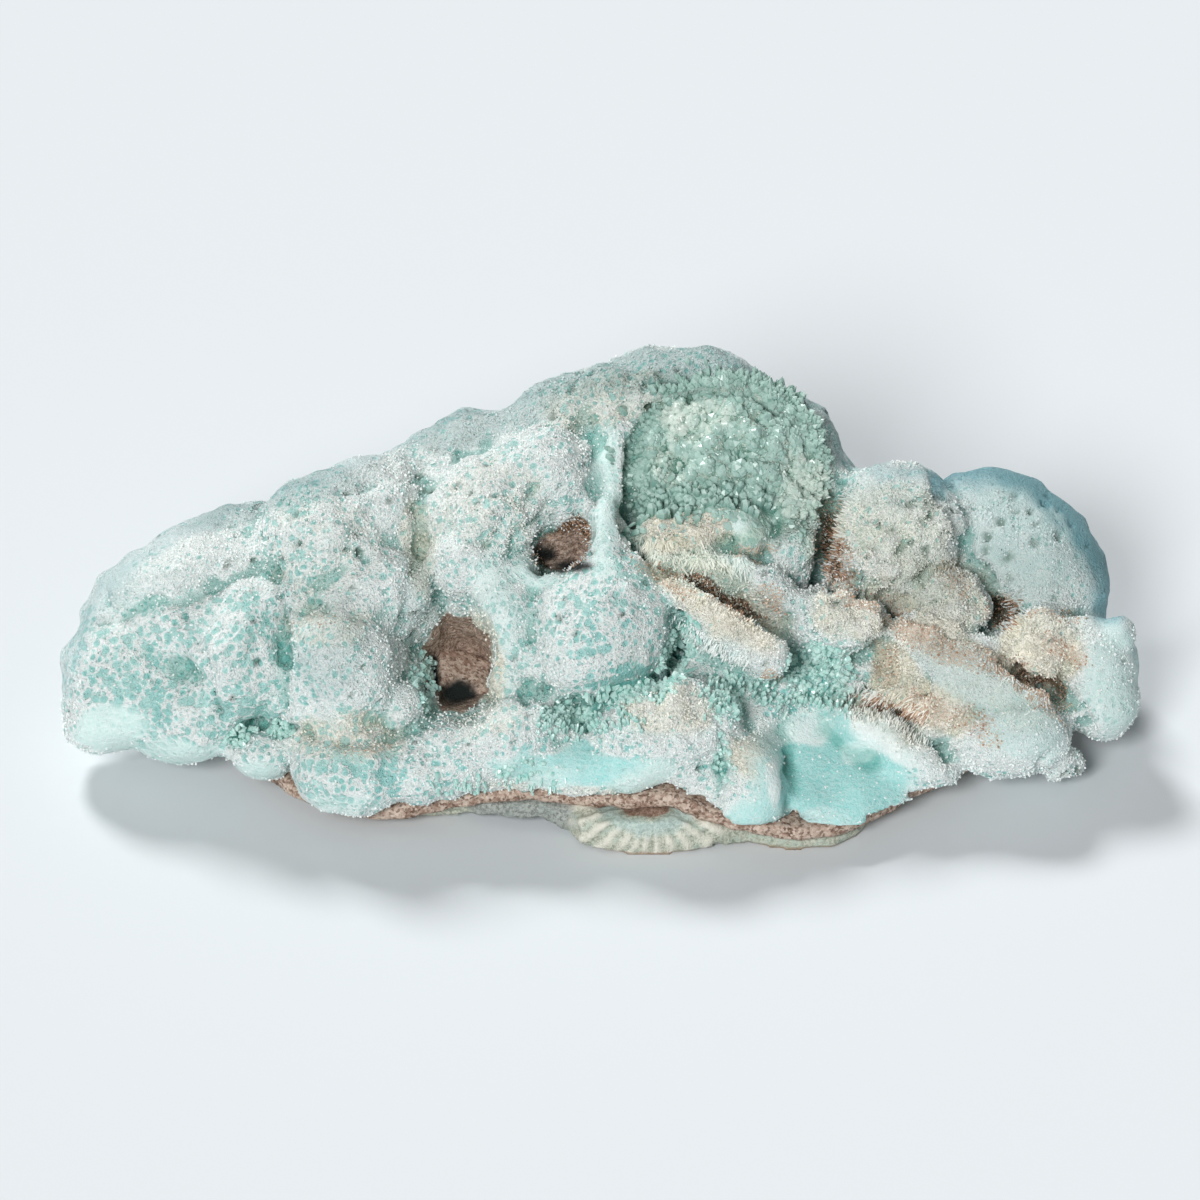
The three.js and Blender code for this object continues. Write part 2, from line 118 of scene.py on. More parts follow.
# Lobes of the upper crust: across, up, back, then half width, half height and half depth, and the turn
# in degrees, anticlockwise as seen.
crust = {
    "halfLength": 70, "radius": 33, "axis": (0, 33, 5),
    "rows": 240, "around": 220,
    "crowding": 0.46, "crowdingAngle": 25,
    "creaseRound": 4.5, "shrink": 0.5,  # deep crease rounding swells the crust, so it is shrunk a little
    "bumpHeight": 0.5, "bumpWidth": 4.5, "swellHeight": 0.8, "swellWidth": 8.5, "swellSeed": 2.9,
    "skirtLevel": 2.6,  # how low it reaches at the two ends, where it hides the rock
    "meshWidth": 0.6,
    "pitSpacing": 2.3, "pitDepth": 0.8,
    "lobes": [
        (12, 59, 50, 10, 7.8, 9, -8), (3, 58, 49, 9.5, 7.6, 9, 10), (-5, 56, 47, 8, 6.8, 8, 25),
        (-14, 51.8, 46, 9, 6.7, 8.5, 8), (-21, 50.5, 45, 7, 6.2, 8, 15), (-29, 46.5, 43, 8, 5.6, 8, 25),
        (-38, 43, 39, 8, 5.4, 8, 20), (-46, 40.6, 36, 7, 5.7, 8, 10), (-53.5, 37.6, 33, 6.8, 5.9, 7.5, 20),
        (-60.5, 32, 30, 7.5, 6.6, 8, 50),
        # left
        (-61, 24, 24, 9.5, 9.6, 9, 0), (-64.3, 18.6, 21, 5.6, 5, 6.5, 0), (-55, 19, 19, 7.6, 7.2, 7.5, 0),
        (-47, 26.8, 20, 6.6, 9, 8, 0), (-44, 13.4, 12.5, 4.6, 3.3, 4.5, -8), (-56, 37, 27.5, 8.5, 3.9, 6, 12),
        (-48.5, 38.6, 28, 5.2, 3.6, 5, 0), (-53.5, 31, 25, 7.5, 6.5, 7, 0),
        (-50.5, 18.5, 17.5, 5.5, 5.5, 5.5, 0),
        # left of the middle
        (-36.5, 42, 29, 8.6, 8, 8, 0), (-42, 33.5, 24, 6.5, 7, 6.5, 0), (-24, 47.5, 38, 6.5, 6, 6.5, 0),
        (-39, 20, 15, 4.5, 7, 6, 0), (-29.5, 46, 33, 7.5, 6.5, 7, 0), (-30, 35, 25, 8.5, 6.5, 7.5, 0),
        (-33.6, 25, 16, 7.4, 9, 8, 0), (-32.5, 11.6, 8, 7.6, 6.8, 7, 0), (-25.8, 19.4, 13, 3.2, 3.4, 3.5, 0),
        (-25, 11.6, 8, 5.6, 4.8, 6, 0), (-15.2, 45.5, 33, 8.2, 7.4, 7.5, 0), (-17.5, 39, 28, 5.5, 5.6, 6, 0),
        (-7.5, 50, 37, 7.5, 7, 7.5, 0),
        # middle
        (-12.6, 33, 24, 4.4, 6.5, 6, 12), (-11.4, 25.5, 19, 4, 5.6, 5.5, 0), (-8.6, 37, 26, 3.8, 2.9, 4, -25),
        (0.2, 30.7, 22, 9.6, 9.4, 9, 0), (-1.5, 25.4, 17, 8, 5.6, 6.5, 0), (0.4, 41.8, 30.6, 3.6, 6, 6, 0),
        (1.5, 49.5, 39.2, 3.4, 9, 5.4, -4),
        # front edge
        (-14, 14.8, 10.4, 9, 5.4, 7, 0), (-20.5, 12.6, 8.6, 6, 5.2, 6, 0), (-9, 17.6, 11, 5.5, 3.5, 5, 0),
        (9.5, 16.6, 10.4, 9, 7, 8.4, 0), (4.5, 15, 8.6, 6, 5.6, 6, 0), (19.7, 8.8, 6, 5.2, 7, 6, 0),
        (-2.5, 11.6, 9.4, 9, 4.6, 6, 0), (14, 9, 7.4, 6.5, 5, 5.4, 0),
        (36, 15.2, 14, 7, 3.6, 6, -35), (41.8, 12.4, 12.5, 5.2, 2.7, 5, -28),
        # right
        (31, 31.4, 25, 6.2, 5.2, 6, 0), (39, 44, 38, 9, 7.2, 8, 0), (37, 47, 42, 8, 4.6, 6, 0),
        (36, 38.4, 32, 6, 4, 5.5, 0), (45.7, 33.4, 30, 5.8, 4.8, 5.5, -15), (54, 38.3, 42, 15, 10.4, 10, -45),
        (58, 27.6, 27, 7.4, 5.4, 7, 0), (64.6, 24, 25, 5.7, 8, 7, 0), (64, 19.6, 22, 5, 4.2, 5, 0),
        (67, 29.2, 26, 2.3, 2.3, 2.5, 0), (49.8, 22, 20, 14, 6.4, 7, -36), (41, 28, 23.5, 4.6, 3.6, 4, -20),
        (53, 15, 14, 8, 5.2, 6.5, 0), (44, 19, 17, 4.6, 4.6, 5, 0), (60.5, 11.8, 15, 3.2, 2.4, 3, 10),
        # the broken dome and its folds
        (16.3, 50, 44, 16, 13.9, 12, 0), (12, 43.2, 32.5, 8, 3.2, 5, 6), (19, 43, 31, 3.1, 3, 3.5, 0),
        (12.5, 37.6, 27.5, 6.5, 3.4, 4.5, -18), (20.6, 36.4, 27, 6.6, 2.5, 4, -32),
        (16, 30.2, 20, 10, 3.3, 4.6, -38), (21.6, 26.4, 17, 3.1, 3.1, 3.6, 0), (24.5, 41, 32, 4, 3.6, 4, 0),
    ],
    # The mound under the lobes and the lobes of the far side: centre, then half sizes, along X, Y and Z.
    "straightLobes": [
        (0, 34, 2, 62, 28, 18), (31, 17, 0, 14, 17, 9.6), (-52, 38, 11, 11, 10, 9), (-39, 47, 13, 11, 10, 11),
        (-24, 53, 15, 10, 10, 13), (-8, 56, 18, 11, 9, 14), (9, 57, 20, 11, 9, 15), (25, 54, 17, 10, 9, 14),
        (39, 50, 13, 10, 9, 11),
    ],
    # Hollows: across, up, half width, half height, turn, depth.
    "hollows": [
        (-18.9, 25.6, 4.7, 7.6, -8, 13), (-18.2, 20.2, 4.6, 3.8, 20, 13), (-4.9, 40.3, 4.6, 1.9, 36, 9),
        (-2.9, 42.4, 1.9, 2.2, 0, 8), (16.8, 33.9, 7.6, 1.3, -30, 6), (30, 41, 1.9, 6, 10, 6),
        (9.4, 25.4, 1.6, 5.4, -22, 3.5), (53.2, 32, 1.8, 2.4, 0, 5), (56.6, 23.2, 5.6, 1.1, -32, 3.5),
        (36.5, 19.3, 5.4, 1.2, -18, 4), (-41.5, 16.6, 1.6, 1.2, 0, 2.4), (-47, 15.4, 1.7, 1.2, 20, 1.6),
        (-4, 18.5, 3.6, 1.2, -15, 2.2), (62.6, 16.8, 1.2, 1, 0, 2), (29.5, 15, 8, 7.5, 10, 2),
    ],
    # Rock in the hollows: across, up, half width, half height, turn, and how far back it starts.
    "caves": [(-18.6, 25.6, 4.8, 7.8, -8, 20), (-4.2, 41, 4.8, 3.2, 30, 29)],
    # The caves' deep ends, painted black as shadow: across, up, half width, half height.
    "shadowedHoleEnds": [(-18.6, 21.4, 3.2, 2.1), (-7.4, 39.5, 2.2, 1.5), (-3.6, 37.8, 3, 1.1), (-21.8, 24, 1.2, 3)],
    "caveStart": 14, "caveEnd": 45,  # how far back the caves' floors start and end
}


# painted shadow: how black each place is at the caves' deep ends
def paintedCaveShadow(points):
    x, y = points[:, 0] + 0.5 * lumps(points, 1.4, 3.3), upIn(points) + 0.5 * lumps(points, 1.4, 6.1)
    caveShadow = [
        1 - ramp(np.hypot((x - across) / wide, (y - up) / high), 0.55, 1.1)
        for across, up, wide, high in crust["shadowedHoleEnds"]
    ]
    start, end = crust["caveStart"], crust["caveEnd"]
    return np.maximum.reduce(caveShadow) * ramp(points[:, 1], start, start + 3) * (points[:, 1] < end)


def turned(x, y, degrees):
    angle = math.radians(degrees)
    return x * math.cos(angle) + y * math.sin(angle), y * math.cos(angle) - x * math.sin(angle)


def lobeSpaces():
    spaces = []
    for across, up, back, wide, high, deep, turn in crust["lobes"]:
        place = Matrix.Translation(seen(across, up, back))
        place = place @ Matrix.Rotation(-lookDown, 4, "X") @ Matrix.Rotation(-math.radians(turn), 4, "Y")
        spaces.append(np.array((place @ Matrix.Diagonal((wide, deep, high, 1))).inverted()))
    for x, y, z, wide, deep, high in crust["straightLobes"]:
        place = Matrix.Translation((x, y, z)) @ Matrix.Diagonal((wide, deep, high, 1))
        spaces.append(np.array(place.inverted()))
    return spaces


def leavingDistance(start, direction):
    far = np.zeros(len(start))
    gap = crust["creaseRound"]
    for space in lobeSpaces():
        a0 = start @ space[:3, :3].T + space[:3, 3]
        step = direction @ space[:3, :3].T
        a = (step * step).sum(1)
        b = (a0 * step).sum(1)
        inside = b * b - a * ((a0 * a0).sum(1) - 1)
        leave = np.where(inside > 0, (np.sqrt(np.maximum(inside, 0)) - b) / a, -9)
        near = np.maximum(gap - np.abs(leave - far), 0) / gap
        near = np.where(inside > 0, near, 0)
        far = np.maximum(leave, far) + near * near * gap / 4
    return far


plateEdge = np.array([
    (-63, 30, 4.6), (-61, 26, 4.4), (-58, 23.6, 4), (-53, 21.5, 3.6), (-48, 18.6, 3.3), (-44, 15, 3.1),
    (-40, 10.4, 2.9), (-35, 7, 2.8), (-29, 5.7, 2.8), (-25, 5.5, 3), (-20, 6.5, 4),
    (-15, 6.7, 4.6), (-10, 6.9, 5.2), (-5, 5.9, 5.4), (0, 4.6, 5.8), (5, 3.1, 6.4), (9, 3.1, 7),
    (12, 2.5, 6.2), (15, 1.9, 4.8), (18, 1.5, 3.6), (22, 1.2, 3.4), (26, 1.1, 2.9), (30, 1.8, 2.6),
    (32, 2.9, 2.7), (36, 5.6, 3.2), (40, 9.3, 3.6), (45, 12.4, 3.8), (50, 17.4, 3.8), (56, 19.5, 3.8),
    (60, 22, 4), (62.4, 26, 4.6), (62.6, 31, 5), (60, 38, 5), (56, 44, 5),
    (50, 50, 5), (42, 55.6, 5), (31, 59.5, 5), (19, 62.2, 5), (7, 63.4, 5), (-5, 62.8, 5),
    (-17, 60.4, 5), (-29, 56.6, 5), (-40, 51, 5), (-49, 45, 5), (-56, 39.6, 5), (-61, 35, 4.8),
])


rock = {
    "halfThickness": 1, "seamGap": 0.3, "innerLevel": 6,
    "waveHeight": 0.35, "waveWidth": 7, "waveSeed": 3.7,
    "meshWidth": 0.6, "grainHeight": 0.35, "grainWidth": 1.6,
    "holeDepth": 0.7,
}


# The level of the rock plate's middle.
def plateLevel(x, y):
    distance = np.hypot(x[:, None] - plateEdge[:, 0], y[:, None] - plateEdge[:, 1])
    weight = 1 / (distance**4 + 1)
    level = (weight * plateEdge[:, 2]).sum(1) / weight.sum(1)
    inwards = ramp(distance.min(1), 3, 16)
    flat = np.stack([x, y, np.full(len(x), rock["waveSeed"] * rock["waveWidth"])], 1)
    waves = rock["waveHeight"] * lumps(flat, rock["waveWidth"])
    return level + (rock["innerLevel"] - level) * inwards + waves


# The skin is a ball's grid of rings round a long axis, so it can be worked on as a grid.
class Skin:
    def __init__(self):
        rows, around = crust["rows"], crust["around"]
        self.bm = bmesh.new()
        bmesh.ops.create_uvsphere(self.bm, u_segments=around, v_segments=rows, radius=1)
        ball = np.array([v.co[:] for v in self.bm.verts])
        self.grid = np.zeros((rows + 1, around), int)
        ring = np.rint(np.arccos(np.clip(ball[:, 2], -1, 1)) / math.pi * rows).astype(int)
        evenAngle = np.arctan2(-ball[:, 0], ball[:, 1])
        column = np.rint(evenAngle / (2 * math.pi) * around).astype(int) % around
        pole = (ring == 0) | (ring == rows)
        self.grid[ring[~pole], column[~pole]] = np.nonzero(~pole)[0]
        self.grid[0, :] = np.nonzero(ring == 0)[0][0]
        self.grid[rows, :] = np.nonzero(ring == rows)[0][0]

        # rings spaced evenly along the ellipse that the ball is drawn out to
        long, short = crust["halfLength"], crust["radius"]
        fine = np.linspace(0, math.pi, 2000)
        steps = np.hypot(np.diff(long * np.cos(fine)), np.diff(short * np.sin(fine)))
        length = np.concatenate([[0], np.cumsum(steps)])
        even = np.interp(ring / rows * length[-1], length, fine)
        angle = evenAngle - crust["crowding"] * np.sin(evenAngle - math.radians(crust["crowdingAngle"]))
        along, radius = long * np.cos(even), np.where(pole, 0, short * np.sin(even))
        self.start = np.stack([along * (1 - (short / long) ** 2), 0 * along, 0 * along], 1) + crust["axis"]
        direction = np.stack(
            [along / long**2, -radius * np.sin(angle) / short**2, radius * np.cos(angle) / short**2], 1
        )
        self.direction = direction / np.linalg.norm(direction, axis=1)[:, None]
        self.far = leavingDistance(self.start, self.direction)
        points = self.points()
        self.far = self.far + crust["bumpHeight"] * lumps(points, crust["bumpWidth"]) - crust["shrink"]
        self.far += crust["swellHeight"] * lumps(points, crust["swellWidth"], crust["swellSeed"])

    def points(self):
        return self.start + self.direction * self.far[:, None]


# An even mesh of squares with its neighbours, so that values can be spread over it.
class Surface:
    def __init__(self, mesh):
        self.mesh = mesh
        count = len(mesh.vertices)
        ends = np.zeros(len(mesh.edges) * 2, np.int32)
        mesh.edges.foreach_get("vertices", ends)
        self.ends = ends.reshape(-1, 2)
        self.neighbours = np.bincount(ends, minlength=count)
        corners = np.zeros(len(mesh.loops), np.int32)
        mesh.loops.foreach_get("vertex_index", corners)
        self.corners = corners.reshape(-1, 4)
        self.points, self.normals = meshPoints(mesh)

    def spread(self, values, steps):
        a, b = self.ends.T
        count = len(values)
        for _ in range(steps):
            total = np.bincount(a, values[b], count) + np.bincount(b, values[a], count)
            values = (values + total) / (self.neighbours + 1)
        return values

    def push(self, distance):
        self.points = self.points + self.normals * distance[:, None]
        placeVertices(self.mesh, self.points)
        _, self.normals = meshPoints(self.mesh)

    # how far each place lies below its surroundings
    def sunkIn(self, steps):
        around = np.stack([self.spread(self.points[:, k], steps) for k in range(3)], 1)
        return ((around - self.points) * self.normals).sum(1)

    # random places on the squares, more of them where the weight is high
    def places(self, weight, count, draw):
        chance = np.clip(weight, 0, None)[self.corners].mean(1)
        picked = draw.choice(len(self.corners), size=count, p=chance / chance.sum())
        u, v = draw.uniform(0, 1, (2, len(picked)))
        shares = np.stack([(1 - u) * (1 - v), u * (1 - v), u * v, (1 - u) * v], 1)
        return Places(self.corners[picked], shares)


# Places on a surface, each a mix of the four corners of its square.
class Places:
    def __init__(self, corners, shares):
        self.corners = corners
        self.shares = shares

    def of(self, values):
        shares = self.shares if values.ndim == 1 else self.shares[:, :, None]
        return (values[self.corners] * shares).sum(1)


# Where the specimen is cream, tan, blue and so on. Each area is across, up, half width, half height,
# turn and the value it has; later areas lie over earlier ones.
areas = {
    # how much of the blue cells is hidden by white crystals
    "cover": (0.66, [
        (-60, 23, 10, 10, 0, 0.52), (-55, 18, 10, 6, 0, 0.46), (-56, 39, 12, 5.5, 15, 0.84),
        (-47, 27, 6, 9, 0, 0.5), (-47, 19, 5, 3.6, 0, 0.25), (-35, 41, 10, 9, 0, 0.62),
        (-33, 24, 8, 9, 0, 0.62), (-33, 11, 8, 5, 0, 0.5), (-14, 46, 9, 8, 0, 0.68),
        (-22, 52, 13, 5, 20, 0.74), (1, 31, 9.5, 9.5, 0, 0.52), (4, 22.5, 8, 3, 0, 0.3),
        (2, 60, 13, 6, 10, 0.66), (-14, 16.5, 8, 4, 0, 0.64), (9, 18, 8, 5, 0, 0.78),
        (19.5, 11, 4, 5, 0, 0.66), (32, 32, 6, 4.6, 0, 0.84), (39, 44, 8, 7, 0, 0.74),
        (55, 41, 10, 8, -40, 0.86), (41, 35, 10, 5, 0, 0.78), (60, 26, 9, 8, 0, 0.92),
        (50, 21, 15, 8, -36, 0.95), (40, 16, 8, 4, -30, 0.9), (16, 30, 10, 4, -38, 0.95),
    ]),
    # smooth waxy skin, with no crystals on it
    "smooth": (0.0, [
        (-63.5, 16.6, 5, 3.6, 0, 0.8), (-54, 13, 7, 2.4, -5, 0.65), (-35, 6.6, 8, 2, 0, 0.45),
        (-13.5, 33, 3.2, 9, 15, 0.4), (-8.6, 37, 3.6, 3, -25, 0.55), (-3, 12.2, 7, 2.6, 0, 0.85),
        (4, 11.2, 6, 2.4, 0, 0.85), (0.6, 46, 2.4, 12, 0, 0.55), (30, 11, 12, 9, 0, 0.9),
        (67, 22.5, 4.6, 9, 0, 0.5), (55, 17, 7, 5, -30, 0.4), (19.6, 43, 3, 3, 0, 0.8),
        (55, 42, 10, 7, -40, 0.35), (-8, 11.5, 7, 2, 0, 0.6), (-44, 11.5, 4, 2, 0, 0.6),
        (60, 46, 9, 5, -40, 0.4), (-14, 22.4, 4, 2.4, 0, 0.3), (20, 4.6, 5, 3, 0, 0.8),
        (-60, 35, 9, 5, 45, 0.25), (47, 22.5, 6, 3, -35, 0.3),
    ]),
    # small pits, darkened inside as painted shade
    "pitted": (0.15, [
        (2, 61, 12, 4, 0, 0.9), (-20, 51, 8, 3.6, 15, 0.7), (-43, 40, 7, 5, 0, 0.5),
        (-31, 38, 4, 4, 0, 0.8), (55, 42, 9, 7, -40, 1.1), (32, 32, 6, 4.6, 0, 1),
        (41, 44, 6, 5, 0, 0.9), (42, 36, 6, 4, 0, 0.8), (60.5, 12.4, 4, 3, 0, 0.9),
        (-61, 22, 9, 9, 0, 0), (30, 11, 14, 10, 0, 0), (56, 18, 8, 5, -30, 0),
    ]),
    # greyer and darker crust on the crest, the top outlines and some slopes: partly the crust's own
    # grey-blue, partly painted shade
    "duskShade": (0.0, [
        (-44, 47, 16, 3, 12, 0.75), (-14, 58, 14, 3.6, 22, 0.8), (6, 64.5, 16, 5, 0, 1.1),
        (28, 58, 6, 6, -45, 0.8), (-66, 34, 5, 9, -40, 0.45), (56, 42, 12, 9, -40, 0.7),
        (38, 48, 8, 3, 0, 0.5), (24, 47, 6, 8, 0, 0.4), (56, 14, 9, 3, -20, 0.3),
        (67, 22, 5, 9, 0, 0.35), (44, 36, 8, 5, 0, 0.4), (60, 31, 7, 3, 0, 0.35),
        (-35, 27, 6, 7, 0, 0.55), (-24, 33, 2.6, 8, 0, 0.5), (50, 22, 12, 5, -36, 0.6),
        (-41, 30, 2.4, 9, 0, 0.35),
    ]),
    "cream": (0.12, [
        (-33, 16, 9, 3.5, 0, 0.6), (-36, 30, 7, 3.5, 0, 0.5), (-23.5, 41, 2.6, 7, 0, 0.6),
        (9, 19.5, 7, 3.6, 0, 0.6), (19.5, 13, 3.8, 3.4, 0, 0.7), (-14, 17.5, 6, 2.4, 0, 0.4),
        (12, 43, 8, 3.4, 6, 0.85), (15, 34, 12, 5, -35, 0.75), (32, 32, 6, 5, 0, 0.6),
        (38, 43, 9, 7, 0, 0.55), (43, 34, 10, 6, 0, 0.6), (57, 27, 7, 6, 0, 0.75),
        (46, 27, 10, 3.4, -36, 0.7), (38, 24, 3.4, 5, 0, 0.8), (43, 19.5, 6, 4, -20, 0.8),
        (28, 56, 5, 6, 0, 0.4), (-15, 26, 2.6, 7, 10, 0.8), (36, 18, 8, 3, -30, 0.5),
        (-6, 8.6, 12, 1.6, 0, 0.5), (-14, 46, 9, 7, 0, 0.4), (-36, 40, 9, 8, 0, 0.35),
        (2, 60, 12, 4, 10, 0.5), (50, 22, 11, 3.4, -36, 0.45),
    ]),
    "tan": (0.0, [
        (43.5, 28, 7.5, 2, -32, 0.75), (52.5, 24, 6, 1.5, -38, 0.75), (57, 20, 4, 1, -35, 0.5),
        (60.5, 26.5, 4, 1.6, -30, 0.5), (49, 17, 5, 1.8, -30, 0.4), (58, 31.4, 5, 1.0, -5, 0.5),
        (22.6, 33.6, 3, 1.0, -50, 0.8), (22, 24, 1.4, 1.2, 0, 0.8), (34, 33.4, 3.6, 1.4, -20, 0.5),
        (43, 19.6, 5.4, 1.5, -30, 0.45), (37, 25, 1.8, 3.6, 15, 0.4), (38, 19, 6.5, 1.2, -18, 0.6),
        (-30, 15, 5, 0.8, 10, 0.45), (8, 36.5, 5, 1.3, -40, 0.6), (20, 39.6, 3.4, 0.8, -8, 0.7),
        (5.5, 43.5, 1.6, 2, 0, 0.4), (-37, 31, 4, 1, 0, 0.3), (46, 36, 2, 3, 30, 0.4),
        (52, 32.5, 2.6, 2.4, 0, 0.6), (57, 22.6, 6, 1.2, -32, 0.8), (30, 41, 2.6, 7, 10, 0.7),
        (12, 43, 8, 3.4, 6, 0),
    ]),
    # brown earth in the gaps
    "earth": (0.0, [
        (-4.6, 40.6, 4.6, 2.8, 30, 1), (-3, 42.4, 2.2, 2.2, 0, 1), (16, 34, 7, 1.4, -30, 0.8),
        (30, 40, 1.9, 5.5, 10, 0.75), (53, 31.8, 2, 2.4, 0, 0.75), (57, 22.8, 5, 0.8, -32, 0.7),
        (37, 19.2, 5, 0.9, -18, 0.7), (9, 37.5, 2.6, 1, -30, 0.6),
    ]),
    # deep sea green, where the crystals are clear
    "teal": (0.0, [
        (-47, 15.6, 2, 1.2, 20, 0.9), (-41.5, 16.8, 1.5, 1.4, 0, 1), (-50.5, 22, 1, 6, -15, 0.3),
        (9.5, 25, 2.4, 5.5, -25, 0.8), (5, 21.4, 6, 1.8, 15, 0.8), (-3.6, 18.6, 4.4, 1.8, -12, 0.9),
        (16.6, 21, 2.2, 3.6, 0, 0.7), (-23, 23, 1.8, 6, 0, 0.5), (28, 24, 5, 3.8, 0, 0.7),
        (-10, 11.4, 5, 1.2, 15, 0.5), (24.5, 17, 2, 3, 0, 0.4), (15.6, 13, 1.6, 5, 0, 0.5),
    ]),
    # whitish masses on the dome and in the basin
    "milky": (0.15, [
        (12, 57, 6, 3, 10, 0.75), (9, 51, 3, 4, 0, 0.6), (26, 48, 4, 5, 0, 0.7), (20, 53, 4, 3, 0, 0),
        (16, 48, 6, 2.4, 0, 0.2), (26, 17, 4.6, 2.6, 0, 1.2), (33.5, 14.5, 3, 2, 20, 0.7),
        (22.6, 10, 1.6, 4, 0, 0.8), (38, 16, 8, 2.6, -33, 1.3), (44, 12, 4, 2.4, -25, 1.2),
        (28, 5, 6, 1.6, 0, 0.5),
    ]),
    # bright turquoise
    "aqua": (0.05, [
        (-60, 22, 9, 9, 0, 0.1), (-2, 13, 9, 4, 0, 0.85), (31, 10, 12, 8, 0, 1),
        (28, 20, 7, 5, 0, 0.9), (2, 26, 9, 6, 0, 0.45), (-24, 9, 9, 4, 0, 0.5),
        (19.5, 6.5, 5, 3, 0, 0.7), (39, 16, 8, 2.6, -30, 0.1), (9, 17.5, 7, 4, 0, 0.2),
        (-14, 11.6, 9, 3, 0, 0.6), (15.6, 13, 2.6, 6, 0, 0.8),
    ]),
    # the dome's grey-green
    "green": (0.0, [
        (16.5, 50.5, 15.5, 13.4, 0, 1), (1, 47, 2, 12, -4, 0), (13, 37.5, 8, 4, -18, 0.7),
        (28, 42, 3, 4, 0, 0.8), (39, 43, 7, 5, 0, 0.4), (16, 46.4, 8, 1.5, 0, 0.8),
        (43, 36, 5, 3.4, 0, 0.35), (-23, 40, 2, 5, 0, 0.4), (17, 21, 3, 4, 0, 0.3),
        (12, 43, 8, 2.6, 6, 0.1),
    ]),
    # coral-like roughness
    "rough": (0.42, [
        (-60, 22, 9, 8, 0, 0.28), (-56, 39, 12, 6, 15, 0.3), (-14, 46, 9, 8, 0, 0.85),
        (-36, 41, 9, 7, 0, 0.65), (2, 60, 13, 4, 10, 0.9), (32, 32, 6, 5, 0, 1),
        (38, 43, 9, 7, 0, 0.9), (43, 34, 10, 6, 0, 1.1), (57, 27, 7, 6, 0, 0.9),
        (55, 41, 9, 8, -40, 0.2), (-32, 13, 8, 5, 0, 0.6), (-14, 15, 8, 4, 0, 0.6),
        (46, 26, 10, 6, -36, 0.7), (16, 30, 10, 4, -38, 0.6), (12, 43, 8, 3.6, 6, 0.7),
        (16.5, 51, 14, 12, 0, 1), (9, 19, 8, 5, 0, 0.9), (38, 24, 4, 6, 0, 1),
        (43, 19.5, 6, 4, -20, 1), (26, 46, 4, 5, 0, 1), (50, 20, 9, 5, -36, 0.3),
        (68, 23, 4, 9, 0, 0.1), (40, 14, 8, 3, -30, 0.25), (-20, 48, 12, 6, 15, 0.6),
        (28, 24, 5, 4, 0, 0.7), (60, 46, 12, 7, -40, 0.05), (0.6, 46, 3, 13, 0, 0.05),
    ]),
}

# Creases: depth, half width, then the points they pass, across and up.
creases = [
    (0.7, 0.6, (-66, 30), (-62, 31), (-59, 33), (-54, 33.2), (-50, 34.8), (-46, 36.5), (-43.5, 38.5)),
    (0.7, 0.6, (-54, 32), (-52.5, 28), (-51, 25), (-50, 21), (-49, 18)),
    (1.1, 0.7, (-43.5, 38.5), (-42, 36), (-41, 33), (-40.8, 28), (-41.2, 22), (-41.5, 16.6)),
    (0.5, 0.7, (-41, 33), (-37, 32.6), (-33, 31.5), (-29, 31)),
    (1.1, 0.8, (-25, 31), (-24.5, 36), (-23, 41), (-23.5, 47)),
    (0.8, 0.7, (-41, 17), (-37, 16), (-34, 15.4), (-30, 15), (-27, 16.2), (-24.5, 17)),
    (0.9, 0.7, (-10, 20.6), (-7, 19.6), (-4, 18.6), (-2, 17.2)),
    (0.8, 0.8, (-33, 48), (-27, 49), (-22, 49), (-17, 52), (-12, 54), (-8, 55.5)),
    (0.6, 0.7, (-1.2, 46), (-1, 52), (1.5, 57), (4, 60.5), (8, 62.7), (14, 64), (20, 63.6), (25, 61)),
    (1.7, 0.8, (3.4, 42), (3.6, 50), (5, 55.5), (8.5, 59.5)),
    (1.0, 0.6, (8.5, 59.5), (13, 61), (19, 61), (24, 58.6)),
    (1.6, 0.9, (47.5, 41), (46.5, 44.5), (44.5, 48), (43, 50)),
    (1.4, 0.9, (46.5, 41), (50, 37.5), (52, 33.5), (53, 31)),
    (1.3, 0.8, (31, 38), (34, 36), (38, 33.2), (41, 31.6), (45, 30), (49, 29), (52, 27)),
    (1.3, 0.8, (52.5, 27), (55, 24), (58.5, 22.3), (61.5, 19), (62.8, 16.8)),
    (0.9, 0.7, (31, 21), (36, 19.4), (39, 18.5), (42, 16), (45, 13.5)),
    (1.0, 0.7, (37, 28), (36.5, 24), (33, 21)),
    (1.0, 0.7, (25, 33.5), (26, 29.5), (29, 27), (33, 26.5), (36.5, 28)),
    (1.1, 0.7, (9.6, 31), (10.4, 27), (8.5, 24), (5, 22), (0, 20.3), (-5, 20.3)),
    (0.8, 0.6, (15.2, 20), (16, 15), (15.5, 9)),
    (0.8, 0.6, (23.8, 14), (24.5, 9), (24.5, 5)),
    (0.8, 0.6, (58, 13.5), (56.5, 11.5), (56, 9.5)),
    (0.9, 0.7, (28, 50), (30.5, 45), (30, 40), (28, 36)),
    (0.7, 0.6, (9, 41), (13, 39.6), (18, 39.6), (22, 39)),
]


# Blue-grey rims along the top outline, partly bare blue crust and partly painted shade: how strong, half
# width, then the points they pass.
rims = [
    (0.5, 2.6, (-70, 22), (-68, 30), (-65, 34.5), (-60, 40), (-54, 43.4), (-50, 44.8)),
    (0.5, 1.5, (-50, 44.8), (-45, 46.8), (-37, 49.2), (-27, 53.6), (-20, 57.5), (-10, 60)),
    (0.4, 1.2, (-10, 60), (-3, 64.6), (6, 67), (14, 66.8), (20, 63.8)),
    (0.6, 1.8, (20, 63.8), (26, 60.5), (30, 57), (32.5, 52.4), (36, 50.8), (42, 49.4)),
    (1.0, 4.0, (45, 50.4), (48, 51), (52, 51.4), (58, 48.7), (63, 43.7), (66, 37), (66.5, 33)),
    (0.5, 1.2, (66.5, 32), (69.6, 27), (70, 22)),
]


